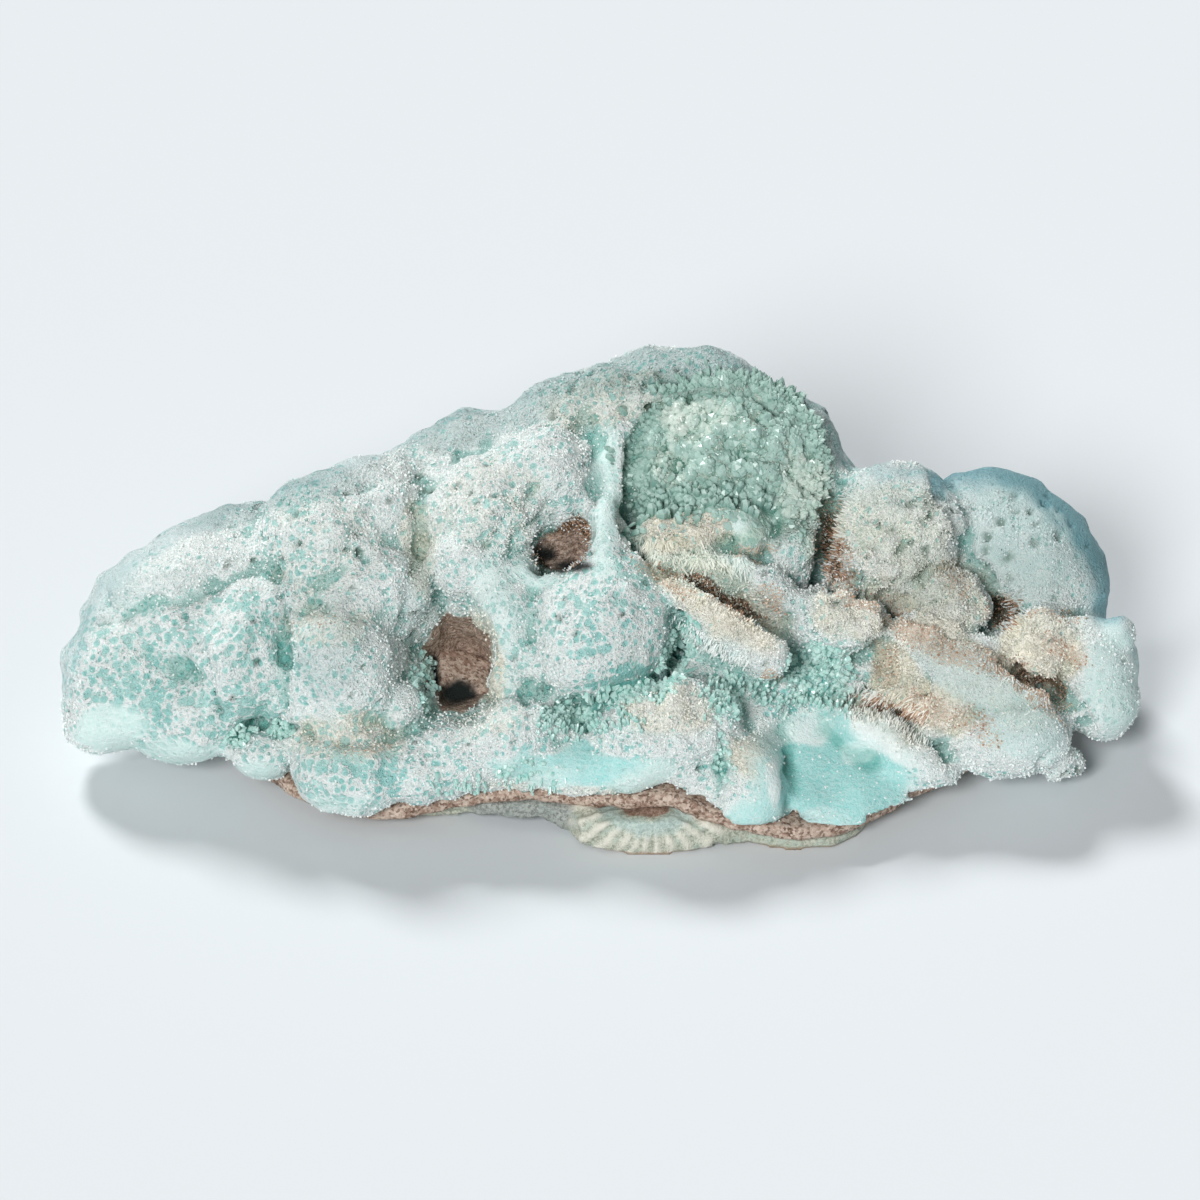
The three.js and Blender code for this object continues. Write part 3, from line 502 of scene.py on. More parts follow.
def distanceToLine(x, y, points):
    nearest = np.full(len(x), np.inf)
    for (ax, ay), (bx, by) in zip(points, points[1:]):
        t = np.clip(((x - ax) * (bx - ax) + (y - ay) * (by - ay)) / ((bx - ax) ** 2 + (by - ay) ** 2), 0, 1)
        nearest = np.minimum(nearest, np.hypot(x - ax - t * (bx - ax), y - ay - t * (by - ay)))
    return nearest


def paintArea(name, points, front):
    default, brushes = areas[name]
    warp = 1.3
    x = points[:, 0] + warp * layered(points, 4.0, 2, 3.1)
    y = upIn(points) + warp * layered(points, 4.0, 2, 11.7)
    value = np.full(len(points), default)
    for across, up, wide, high, turn, target in brushes:
        u, v = turned(x - across, y - up, turn)
        weight = (1 - ramp(np.hypot(u / wide, v / high), 0.62, 1.2)) * front
        value += (target - value) * weight
    return value


def addObject(name, bm, material, smooth=True):
    mesh = bpy.data.meshes.new(name)
    bm.to_mesh(mesh)
    bm.free()
    mesh.polygons.foreach_set("use_smooth", [smooth] * len(mesh.polygons))
    piece = bpy.data.objects.new(name, mesh)
    bpy.context.scene.collection.objects.link(piece)
    mesh.materials.append(material)
    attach(piece, "root")
    return piece


def giveValues(mesh, values):
    for name, numbers in values.items():
        attribute = mesh.attributes.new(name, "FLOAT", "POINT")
        attribute.data.foreach_set("value", np.asarray(numbers, dtype=np.float32))


def placeVertices(mesh, points):
    mesh.vertices.foreach_set("co", ((points - origin) * mm).astype(np.float32).ravel())
    mesh.update()


# One socket's value in a material, with arithmetic.
class Term:
    def __init__(self, paint, socket):
        self.paint = paint
        self.socket = socket

    def maths(self, operation, *others, clamp=False):
        settings = {"operation": operation, "use_clamp": clamp}
        node = self.paint.node("ShaderNodeMath", settings, [self, *others])
        return Term(self.paint, node.outputs[0])

    def __add__(self, other):
        return self.maths("ADD", other)

    def __mul__(self, other):
        return self.maths("MULTIPLY", other)

    def __sub__(self, other):
        return self.maths("SUBTRACT", other)

    def __rsub__(self, other):
        return (self * -1) + other

    __radd__ = __add__
    __rmul__ = __mul__

    def clamped(self):
        return self.maths("ADD", 0.0, clamp=True)

    def larger(self, other):
        return self.maths("MAXIMUM", other)

    def between(self, low, high):
        settings = {"interpolation_type": "SMOOTHSTEP"}
        values = {"Value": self, "From Min": low, "From Max": high}
        node = self.paint.node("ShaderNodeMapRange", settings, values)
        return Term(self.paint, node.outputs["Result"])


class Paint:
    def __init__(self, name):
        self.material = bpy.data.materials.new(name)
        self.material.use_nodes = True
        self.tree = self.material.node_tree
        self.shader = self.tree.nodes["Principled BSDF"]
        self.place = self.node("ShaderNodeTexCoord").outputs["Object"]

    def put(self, socket, value):
        if isinstance(value, Term):
            value = value.socket
        if isinstance(value, bpy.types.NodeSocket):
            self.tree.links.new(value, socket)
        elif isinstance(value, tuple) and len(value) == 3 and socket.type == "RGBA":
            socket.default_value = (*value, 1)
        else:
            socket.default_value = value

    def node(self, kind, settings=None, values=None):
        made = self.tree.nodes.new(kind)
        for key, value in (settings or {}).items():
            setattr(made, key, value)
        pairs = values.items() if isinstance(values, dict) else enumerate(values or [])
        for key, value in pairs:
            self.put(made.inputs[key], value)
        return made

    def attribute(self, name):
        return Term(self, self.node("ShaderNodeAttribute", {"attribute_name": name}).outputs["Fac"])

    def noise(self, width, detail):
        values = {"Vector": self.place, "Scale": 1 / (width * mm), "Detail": detail, "Roughness": 0.55}
        return Term(self, self.node("ShaderNodeTexNoise", None, values).outputs["Fac"])

    # rounded cells: how far the middle of the cell is, in cell widths, and a number of the cell's own
    def cells(self, width, place):
        made = self.node("ShaderNodeTexVoronoi", None, {"Vector": place, "Scale": 1 / (width * mm)})
        own = self.node("ShaderNodeSeparateColor", None, [made.outputs["Color"]]).outputs[0]
        return Term(self, made.outputs["Distance"]), Term(self, own)

    # the place, pushed about so that patterns on it aren't regular
    def stirred(self, width, amount):
        values = {"Vector": self.place, "Scale": 1 / (width * mm), "Detail": 2.0}
        colour = self.node("ShaderNodeTexNoise", None, values).outputs["Color"]
        centred = self.vector("SUBTRACT", colour, (0.5, 0.5, 0.5))
        pushed = self.vector("SCALE", centred, scale=2 * amount * mm)
        return self.vector("ADD", self.place, pushed)

    def vector(self, operation, *values, scale=None):
        made = self.node("ShaderNodeVectorMath", {"operation": operation}, list(values))
        if scale is not None:
            self.put(made.inputs["Scale"], scale)
        return made.outputs["Vector"]

    def blend(self, amount, first, second, mode="MIX"):
        settings = {"data_type": "RGBA", "blend_type": mode}
        made = self.node("ShaderNodeMix", settings)
        self.put(made.inputs["Factor"], amount)
        self.put(made.inputs[6], first)
        self.put(made.inputs[7], second)
        return made.outputs[2]

    def bump(self, height, distance, strength=1.0, under=None):
        values = {"Height": height, "Distance": distance * mm, "Strength": strength}
        if under is not None:
            values["Normal"] = under
        return self.node("ShaderNodeBump", None, values).outputs["Normal"]

    def finish(self, **values):
        for key, value in values.items():
            self.put(self.shader.inputs[key.replace("_", " ")], value)


# A colour as it looks on a screen, 0 to 255.
def tone(*levels):
    return tuple(((c / 255 + 0.055) / 1.055) ** 2.4 if c > 10 else c / 255 / 12.92 for c in levels)


crustColours = {
    "white": tone(249, 252, 250), "whiteShade": tone(212, 230, 227),
    "cream": tone(252, 247, 233), "creamShade": tone(208, 204, 184),
    "cellPale": tone(196, 231, 226), "cellDeep": tone(132, 200, 193),
    "waxy": tone(212, 236, 231), "aqua": tone(144, 216, 213),
    "teal": tone(98, 186, 178), "green": tone(132, 176, 160), "greenPale": tone(208, 224, 212),
    "tan": tone(228, 206, 186), "tanShade": tone(180, 144, 118),
    "earth": tone(122, 96, 72), "earthDark": tone(60, 48, 38),
    "rim": tone(122, 176, 186), "rimShadePale": tone(176, 210, 214),
    "pit": tone(140, 164, 150), "pitShadeDark": tone(92, 116, 102),
    "stone": tone(214, 192, 176), "stoneDark": tone(140, 114, 98), "holeShadow": tone(26, 32, 29),
}


def crustMaterial():
    paint = Paint("aragonite")
    c = crustColours
    cover, smooth, cream, tan = (paint.attribute(name) for name in ("cover", "smooth", "cream", "tan"))
    earth, teal, aqua, green = (paint.attribute(name) for name in ("earth", "teal", "aqua", "green"))
    cavity, rim, pit, milky = (paint.attribute(name) for name in ("cavity", "rim", "pit", "milky"))
    duskShade, rock = paint.attribute("duskShade"), paint.attribute("rock")

    grain, sugar = paint.noise(0.2, 2.0), paint.noise(0.5, 3.0)
    blotch, wide = paint.noise(3.0, 4.0), paint.noise(9, 2.0)
    smoothPart = (smooth + (blotch - 0.5) * 0.7 + (sugar - 0.5) * 0.7).between(0.15, 0.9)

    # rounded blue crystals of two sizes stand in a white crust, small and few where the cover is thick
    stirred = paint.stirred(1.0, 0.3)
    (bigAway, own), (smallAway, _) = paint.cells(1.2, stirred), paint.cells(0.68, stirred)
    ragged = (sugar - 0.5) * 0.45 + (grain - 0.5) * 0.3
    reach = 0.86 - cover * 0.8 + (blotch - 0.5) * 0.7 + (wide - 0.5) * 0.5 + (own - 0.5) * 0.24 + ragged
    opened = (reach - bigAway).between(-0.06, 0.13)
    opened = opened.larger((reach - 0.08 - smallAway).between(-0.06, 0.14) * 0.85)
    net = ((1 - opened) * (1 - smoothPart * 0.75)).clamped()

    crumbs = (grain * 0.55 + sugar * 0.45).between(0.36, 0.6)
    white = paint.blend(crumbs, c["whiteShade"], c["white"])
    creamy = paint.blend(crumbs, c["creamShade"], c["cream"])
    creamPart = (cream + (blotch - 0.5) * 0.6).between(0.2, 0.9)
    netting = paint.blend(creamPart, white, creamy)

    paleness = (own * 0.6 + (blotch - 0.3) * 0.8 + (sugar - 0.5) * 0.7).clamped()
    cell = paint.blend(paleness, c["cellDeep"], c["cellPale"])
    cell = paint.blend((aqua * 0.8 + (wide - 0.5) * 0.4).clamped(), cell, c["aqua"])
    cell = paint.blend((creamPart * 0.6 + (sugar - 0.5) * 0.4).clamped(), cell, c["greenPale"])
    colour = paint.blend(net, cell, netting)

    waxy = paint.blend((aqua * 1.0 + (blotch - 0.5) * 0.5).between(0.25, 1.0), c["waxy"], c["aqua"])
    waxy = paint.blend((milky + (blotch - 0.5) * 0.7).between(0.25, 0.9) * 0.8, waxy, c["white"])
    waxy = paint.blend(crumbs * 0.35, waxy, c["white"])
    colour = paint.blend(smoothPart * 0.9, colour, waxy)

    greenish = paint.blend((blotch + (sugar - 0.5) * 0.9).between(0.3, 0.7), c["green"], c["greenPale"])
    colour = paint.blend((green * 0.85 + (sugar - 0.5) * 0.5).between(0.2, 0.9), colour, greenish)
    tealPart = (teal + (blotch - 0.5) * 0.5 + (sugar - 0.5) * 0.6).between(0.2, 1.0)
    colour = paint.blend(tealPart * 0.8, colour, c["teal"])

    tanGrain = paint.blend(crumbs, c["tanShade"], c["tan"])
    fleck = (tan * 0.8 + (sugar - 0.5) * 2.4 + (grain - 0.5) * 4.5).between(0.4, 0.65)
    colour = paint.blend(fleck * tan.between(0.08, 0.4) * 0.9, colour, tanGrain)
    dirt = paint.blend(crumbs, c["earthDark"], c["earth"])
    colour = paint.blend((earth * 1.2 + (sugar - 0.5) * 0.9).between(0.4, 0.95), colour, dirt)

    # painted shade: creases and hollows are darkened, sea-green on the blue side and brown on the cream side
    paintedCreaseShade = paint.blend(creamPart * 0.8, (0.36, 0.62, 0.58), (0.7, 0.69, 0.56))
    creaseShadeAmount = (cavity * 1.1 + (sugar - 0.5) * 0.7).between(0.25, 1.1) * (1 - creamPart * 0.6)
    colour = paint.blend(creaseShadeAmount * 0.8, colour, paint.blend(1.0, colour, paintedCreaseShade, "MULTIPLY"))
    # painted shade inside the pits
    colour = paint.blend(pit, colour, paint.blend(sugar, c["pitShadeDark"], c["pit"]))
    # painted shade, partly bare blue crust: the rims and the surfaces turned away from the front are tinted
    # blue-grey
    rimShadeAmount = (rim + (blotch - 0.5) * 0.35 + (sugar - 0.5) * 0.25).between(0.1, 1.0)
    colour = paint.blend(rimShadeAmount * 0.9, colour, paint.blend(rim.between(0.55, 1.0), c["rimShadePale"], c["rim"]))
    # painted shade, over the crust's own grey-blue: the crest and top outlines are greyed and darkened
    duskShadeAmount = (duskShade + (blotch - 0.5) * 0.4 + (sugar - 0.5) * 0.4).between(0.0, 1.1)
    colour = paint.blend(duskShadeAmount, colour, paint.blend(1.0, colour, (0.62, 0.7, 0.7), "MULTIPLY"))
    stone = paint.blend((sugar * 0.6 + grain * 0.4).between(0.35, 0.65), c["stoneDark"], c["stone"])
    colour = paint.blend((rock + (sugar - 0.5) * 0.5).between(0.3, 0.7), colour, stone)
    # painted shadow: the caves' deep ends are black
    colour = paint.blend(paint.attribute("caveShadow"), colour, c["holeShadow"])

    rough = 0.45 + net * 0.3 - smooth * 0.1
    relief = paint.bump(net + (sugar - 0.5) * 1.4, 0.42, (1 - smooth * 0.55).clamped())
    relief = paint.bump(grain, 0.25, (1 - smooth * 0.5).clamped(), relief)
    paint.finish(Base_Color=colour, Roughness=rough, Normal=relief, IOR=1.5, Specular_IOR_Level=0.4,
                 Subsurface_Weight=0.12, Subsurface_Scale=0.001, Subsurface_Radius=(0.9, 1.0, 1.0))
    return paint.material


def crystalMaterial(name, root, tip, pale, roughness=0.25):
    paint = Paint(name)
    tint, along, milky = paint.attribute("tint"), paint.attribute("along"), paint.attribute("milky")
    blotch = paint.noise(2.2, 3.0)
    colour = paint.blend((along * 0.9 + 0.1 + (blotch - 0.5) * 0.9 + (tint - 0.5) * 0.3).clamped(), root, tip)
    whitish = (milky + (tint - 0.5) * 0.2 + (blotch - 0.5) * 0.9).between(0.3, 1.0)
    colour = paint.blend(whitish * 0.8, colour, pale)
    paint.finish(Base_Color=colour, Roughness=roughness, IOR=1.53)
    return paint.material


def grainMaterial():
    paint = Paint("sugar grains")
    c = crustColours
    tint, cream, tan = paint.attribute("tint"), paint.attribute("cream"), paint.attribute("tan")
    blotch = paint.noise(3.0, 3.0)
    white = paint.blend(tint.between(0.0, 0.5), c["whiteShade"], c["white"])
    creamy = paint.blend(tint.between(0.0, 0.5), c["creamShade"], c["cream"])
    colour = paint.blend((cream + (blotch - 0.5) * 0.6).between(0.2, 0.9), white, creamy)
    # some of the grains are tan or brown, each of one colour
    tanGrain = paint.blend(tint.between(0.0, 0.5), c["tanShade"], c["tan"])
    colour = paint.blend((tan * 1.05 - tint).between(0.0, 0.05), colour, tanGrain)
    colour = paint.blend(paint.attribute("green") * 0.6, colour, c["greenPale"])
    colour = paint.blend((paint.attribute("earth") * 0.8 - tint).between(0.0, 0.05), colour, c["tanShade"])
    # painted shade, partly bare blue crust: grains on the rims are tinted pale blue-grey
    rimShadeAmount = (paint.attribute("rim") + (tint - 0.5) * 0.4).between(0.15, 0.95)
    colour = paint.blend(rimShadeAmount * 0.8, colour, c["rimShadePale"])
    # painted shade, over the crust's own grey-blue: grains on the crest and top outlines are greyed and
    # darkened
    duskShadeAmount = (paint.attribute("duskShade") + (tint - 0.5) * 0.4).clamped()
    colour = paint.blend(duskShadeAmount, colour, paint.blend(1.0, colour, (0.62, 0.7, 0.7), "MULTIPLY"))
    paint.finish(Base_Color=colour, Roughness=0.45, IOR=1.53)
    return paint.material


def plainMaterial(name, colour, roughness):
    paint = Paint(name)
    paint.finish(Base_Color=colour, Roughness=roughness)
    return paint.material


def rockMaterial():
    paint = Paint("brown rock")
    grain, blotch, sugar = paint.noise(0.2, 3.0), paint.noise(2.2, 4.0), paint.noise(0.6, 3.0)
    _, tint = paint.cells(0.34, paint.stirred(0.8, 0.2))
    colour = paint.blend((blotch + (sugar - 0.5)).between(0.3, 0.7), tone(146, 118, 102), tone(204, 182, 166))
    colour = paint.blend(tint.between(0.5, 0.95) * 0.7, colour, tone(220, 204, 190))
    colour = paint.blend((1 - tint.between(0.05, 0.3)) * 0.6, colour, tone(76, 56, 46))
    # painted shadow: the caves' deep ends are black
    colour = paint.blend(paint.attribute("caveShadow"), colour, tone(26, 34, 32))
    relief = paint.bump(tint, 0.12, 0.7, paint.bump(grain, 0.12, 0.8))
    paint.finish(Base_Color=colour, Roughness=0.85, Normal=relief, Specular_IOR_Level=0.25)
    return paint.material


def underMaterial():
    paint = Paint("pale aragonite")
    grain, blotch, sugar = paint.noise(0.2, 2.0), paint.noise(2.6, 3.0), paint.noise(0.5, 3.0)
    band, fibre, core, edge = (paint.attribute(name) for name in ("band", "fibre", "core", "edge"))
    crumbs = (grain * 0.4 + sugar * 0.6).between(0.35, 0.65)
    pale = paint.blend(crumbs, tone(142, 150, 134), tone(212, 214, 198))
    pale = paint.blend((blotch + (sugar - 0.5) * 0.5).between(0.45, 0.7) * 0.7, pale, tone(176, 196, 184))
    colour = paint.blend((fibre + (grain - 0.5) * 0.6).between(0.2, 0.8), pale, tone(230, 228, 214))
    colour = paint.blend(band * 0.7, colour, paint.blend(crumbs, tone(170, 196, 192), tone(206, 224, 220)))
    brown = paint.blend(crumbs, tone(120, 92, 76), tone(184, 158, 142))
    colour = paint.blend((core + (sugar - 0.5) * 0.8).between(0.3, 0.8), colour, brown)
    colour = paint.blend((edge + (sugar - 0.5) * 1.2).between(0.35, 0.95) * 0.8, colour, tone(160, 130, 104))
    # painted shade: the knobs under the seam, left of the fan, are greyed
    knobShade = (paint.attribute("knobShade") + (sugar - 0.5) * 0.8).between(0.2, 0.8) * 0.8
    colour = paint.blend(knobShade, colour, paint.blend(crumbs, tone(110, 114, 112), tone(172, 178, 176)))
    relief = paint.bump(grain, 0.1, 0.8, paint.bump(sugar + fibre * 0.8, 0.25, 0.8))
    paint.finish(Base_Color=colour, Roughness=0.7, Normal=relief, Subsurface_Weight=0.2,
                 Subsurface_Scale=0.0015, Subsurface_Radius=(0.9, 1.0, 0.9))
    return paint.material


def makeCrust():
    skin = Skin()
    points = skin.points()
    x, y = points[:, 0], upIn(points)
    facing = ramp(skin.direction @ towardsEye, -0.05, 0.2)
    wander = 0.6 * lumps(points, 2.6, 5.0)
    sunk = np.zeros(len(x))
    for across, up, wide, high, turn, depth in crust["hollows"]:
        u, v = turned(x + wander - across, y + wander - up, turn)
        reach = np.hypot(u / wide, v / high)
        sunk = np.maximum(sunk, depth * (1 - ramp(reach, 0.75, 1.1)) * facing)
    skin.far -= sunk
    points = skin.points()
    ends = np.maximum(ramp(-x, 40, 46), ramp(x, 45, 50))  # where the crust hides the rock
    level = plateLevel(points[:, 0], points[:, 1]) + rock["halfThickness"] + rock["seamGap"]
    level += (crust["skirtLevel"] - level) * ends
    points[:, 2] = np.where(sunk > 5, points[:, 2], np.maximum(points[:, 2], level))
    bmesh.ops.recalc_face_normals(skin.bm, faces=skin.bm.faces)
    material = crustMaterial()
    piece = addObject("upper_crust_skin", skin.bm, material)
    placeVertices(piece.data, points)
    evenMesh(piece, crust["meshWidth"], material)
    surface = Surface(piece.data)

    # creases between the lobes, then lumps of several sizes
    points = surface.points
    front = ramp(surface.normals @ towardsEye, -0.15, 0.25)
    values = {name: paintArea(name, points, front) for name in areas}
    x, y = points[:, 0], upIn(points)
    wander = 0.8 * lumps(points, 2.6, 5.0)
    carved = np.zeros(len(x))
    for depth, width, *line in creases:
        distance = distanceToLine(x + wander, y + wander, line)
        depths = depth * (1 + 0.6 * lumps(points, 2.4, 8.0))
        carved = np.maximum(carved, depths * np.exp(-((distance / width) ** 2)) * front)
    rough = values["rough"] * (1 - values["smooth"])
    relief = 1.2 * layered(points, 4.0, 2, 1.7) * (0.1 + rough)
    relief += 0.95 * layered(points, 2.1, 2, 4.1) * (0.05 + rough)
    coral = (np.abs(lumps(points, 3.0, 5.5)) + np.abs(lumps(points, 1.9, 9.5)) - 0.7) * ramp(rough, 0.4, 1.0)
    surface.push(relief + 1.1 * coral - carved)

    # small pits in the white parts
    away, own = cellular(points, crust["pitSpacing"], 6.0)
    pitted = ramp(0.2 + 0.17 * values["pitted"] - away, 0, 0.2) * (own > 0.7 - 0.55 * values["pitted"])
    pitted *= (1 - 0.6 * values["smooth"]) * front * ramp(values["pitted"], 0.02, 0.12)
    surface.push(-crust["pitDepth"] * pitted)
    # how strongly each pit is darkened as painted shade
    values["pit"] = pitted * (0.5 + 0.45 * own)

    # brown rock on the walls of the two caves
    values["rock"] = np.zeros(len(x))
    for across, up, wide, high, turn, back in crust["caves"]:
        u, v = turned(x + wander - across, y + wander - up, turn)
        inside = 1 - ramp(np.hypot(u / wide, v / high), 0.8, 1.08)
        behind = points[:, 1] - back - 0.7 * (y - up)
        inside *= ramp(behind, 0, 2) * (points[:, 1] < crust["caveEnd"])
        values["rock"] = np.maximum(values["rock"], inside)
    # painted shadow at the caves' deep ends
    values["caveShadow"] = paintedCaveShadow(points)

    # how sunk in each place is, at three widths: it sets the painted shade in the crust's creases and thins
    # out the grains there
    scales = ((3, 1.8), (14, 1.1), (60, 0.5))
    cavity = sum(strength * np.clip(surface.sunkIn(steps), -0.3, 1.2) for steps, strength in scales)
    values["cavity"] = np.clip(surface.spread(cavity, 1), 0, 1)
    # painted shade, partly bare blue crust: surfaces turned away from the front view and the listed rims are
    # tinted blue-grey
    turnedAwayShade = ramp(surface.spread(surface.normals @ towardsEye, 3), 0.1, -0.2) * ramp(points[:, 2], 6, 14)
    atRim = [
        strength * (1 - ramp(distanceToLine(x + wander, y + wander, line) / width, 0.1, 1.4))
        for strength, width, *line in rims
    ]
    values["rim"] = np.maximum(turnedAwayShade * (0.7 + 0.3 * lumps(points, 7.0, 3.0)), np.maximum.reduce(atRim))
    giveValues(piece.data, values)
    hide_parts("upper_crust")
    print("upper crust", len(piece.data.polygons), "faces")
    return surface, values


# Gives a piece an even mesh of squares of one width.
def evenMesh(piece, width, material):
    remesh = piece.modifiers.new("even grid", "REMESH")
    remesh.mode = "VOXEL"
    remesh.voxel_size = width * mm
    bpy.context.view_layer.update()
    evaluated = piece.evaluated_get(bpy.context.evaluated_depsgraph_get())
    mesh = bpy.data.meshes.new_from_object(evaluated)
    piece.modifiers.clear()
    old = piece.data
    piece.data = mesh
    bpy.data.meshes.remove(old)
    mesh.polygons.foreach_set("use_smooth", [True] * len(mesh.polygons))
    if not mesh.materials:
        mesh.materials.append(material)


def copyOfNode(node, name, width, material):
    source = bpy.data.objects[node]
    bm = bmesh.new()
    bm.from_mesh(source.data)
    bmesh.ops.remove_doubles(bm, verts=bm.verts, dist=weldDistance)
    piece = addObject(name, bm, material)
    evenMesh(piece, width * (1), material)
    return piece


def meshPoints(mesh):
    points = np.zeros(len(mesh.vertices) * 3)
    mesh.vertices.foreach_get("co", points)
    normals = np.zeros(len(mesh.vertices) * 3)
    mesh.vertices.foreach_get("normal", normals)
    return points.reshape(-1, 3) / mm + origin, normals.reshape(-1, 3)


def makePlate():
    piece = copyOfNode("rock_plate", "rock_plate_grain", rock["meshWidth"], rockMaterial())
    points, normals = meshPoints(piece.data)
    rim = ramp(1 - np.abs(normals[:, 2]), 0.1, 0.6)
    grain = rock["grainHeight"] * layered(points, rock["grainWidth"], 3, 2.2)
    points += normals * (grain * (0.35 + 0.65 * rim))[:, None]
    # the caves' deep ends are pushed back and painted black as shadow
    holeShadow = paintedCaveShadow(points)
    points -= towardsEye * (rock["holeDepth"] * holeShadow)[:, None]
    placeVertices(piece.data, points)
    giveValues(piece.data, {"caveShadow": holeShadow})
    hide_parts("rock_plate")
    print("rock plate", len(piece.data.polygons), "faces")


under = {
    "meshWidth": 0.5, "relief": 0.4, "reliefWidth": 2.2,
    "fanCentre": np.array([6, 3, 7.6]),  # the middle of the fibres' fan at the front, under the seam
    "fanRadius": 13, "ribHeight": 0.4, "ribCount": 26,
}


def makeUnder():
    piece = copyOfNode("under_crust", "under_crust_fibres", under["meshWidth"], underMaterial())
    points, normals = meshPoints(piece.data)
    away = points - under["fanCentre"]
    distance = np.hypot(away[:, 0], upIn(away) / cosDown)
    angle = np.arctan2(away[:, 0], -upIn(away))
    nearFan = ramp(under["fanRadius"] - distance, 0, 3) * ramp(12 - points[:, 1], 0, 4)
    spread = angle * under["ribCount"] + 1.5 * lumps(points, 2.0) + 0.3 * distance
    ribs = np.sin(spread) * 0.5 + lumps(points, 0.8) * 0.5
    height = under["relief"] * layered(points, under["reliefWidth"], 3, 9.1)
    height += under["ribHeight"] * ribs * nearFan * ramp(distance, 3, 6)
    lowSide = ramp(points[:, 2], 0.25, 1.2)
    points += normals * (height * lowSide)[:, None]
    points[:, 2] = np.maximum(points[:, 2], 0)
    placeVertices(piece.data, points)
    ragged = distance + 0.7 * lumps(points, 1.6, 4.0)
    band = ramp(ragged, 3.4, 4.6) * (1 - ramp(ragged, 5.4, 6.8)) * nearFan
    giveValues(piece.data, {
        "band": band, "core": (1 - ramp(ragged, 2.6, 3.8)) * nearFan,
        "fibre": (0.5 + 0.5 * ribs) * nearFan * ramp(ragged, 5, 6.5),
        "edge": ramp(1.1 - points[:, 2], 0, 1.1),
        # painted shade on the knobs under the seam
        "knobShade": 1 - ramp(np.abs(points[:, 0] + 10.5 + lumps(points, 3.0)), 5, 8),
    })
    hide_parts("under_crust")
    print("under crust", len(piece.data.polygons), "faces")


# A pointed crystal of length 1, with its shoulder at the given height.
def crystalShape(sides, foot, shoulder, height):
    bm = bmesh.new()
    bmesh.ops.create_cone(bm, cap_ends=True, segments=sides, radius1=foot, radius2=shoulder, depth=height)
    bmesh.ops.translate(bm, verts=bm.verts, vec=(0, 0, height / 2))
    top = max(bm.faces, key=lambda face: face.calc_center_median().z)
    tip = bmesh.ops.poke(bm, faces=[top])["verts"][0]
    tip.co.z = 1
    bmesh.ops.triangulate(bm, faces=bm.faces)
    return bm


# Many copies of one shape: each at a foot, along an axis, so wide and so long.
def scatter(name, shape, feet, axes, widths, lengths, material, draw, own=None):
    base = np.array([v.co[:] for v in shape.verts])
    corners = np.array([[v.index for v in face.verts] for face in shape.faces])
    count = len(feet)
    axes = axes / np.linalg.norm(axes, axis=1)[:, None]
    spin = draw.normal(size=(count, 3))
    side = np.cross(axes, spin)
    side /= np.linalg.norm(side, axis=1)[:, None]
    other = np.cross(axes, side)
    flat = draw.uniform(0.6, 1.0, count)
    points = (
        feet[:, None, :]
        + side[:, None, :] * (base[None, :, 0:1] * widths[:, None, None])
        + other[:, None, :] * (base[None, :, 1:2] * (widths * flat)[:, None, None])
        + axes[:, None, :] * (base[None, :, 2:3] * lengths[:, None, None])
    )
    faces = (corners[None] + (np.arange(count) * len(base))[:, None, None]).reshape(-1, 3)
    shape.free()
    mesh = bpy.data.meshes.new(name)
    mesh.vertices.add(count * len(base))
    mesh.loops.add(len(faces) * 3)
    mesh.polygons.add(len(faces))
    mesh.loops.foreach_set("vertex_index", faces.ravel().astype(np.int32))
    mesh.polygons.foreach_set("loop_start", np.arange(0, len(faces) * 3, 3, dtype=np.int32))
    mesh.polygons.foreach_set("use_smooth", [False] * len(faces))
    placeVertices(mesh, points.reshape(-1, 3))
    mesh.validate()
    giveValues(mesh, {
        "tint": np.repeat(draw.uniform(0, 1, count), len(base)),
        "along": np.tile(base[:, 2], count),
    })
    giveValues(mesh, {name: np.repeat(value, len(base)) for name, value in (own or {}).items()})
    piece = bpy.data.objects.new(name, mesh)
    bpy.context.scene.collection.objects.link(piece)
    mesh.materials.append(material)
    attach(piece, "root")
    print(name, count, "crystals", len(faces), "faces")
    return piece


# A small double pyramid.
def grainShape():
    bm = bmesh.new()
    bmesh.ops.create_cone(bm, cap_ends=False, segments=4, radius1=0, radius2=0.5, depth=0.5)
    top = bmesh.ops.create_cone(bm, cap_ends=False, segments=4, radius1=0.5, radius2=0, depth=0.5)["verts"]
    bmesh.ops.translate(bm, verts=top, vec=(0, 0, 0.5))
    bmesh.ops.remove_doubles(bm, verts=bm.verts, dist=0.001)
    bmesh.ops.translate(bm, verts=bm.verts, vec=(0, 0, 0.25))
    bmesh.ops.triangulate(bm, faces=bm.faces)
    return bm


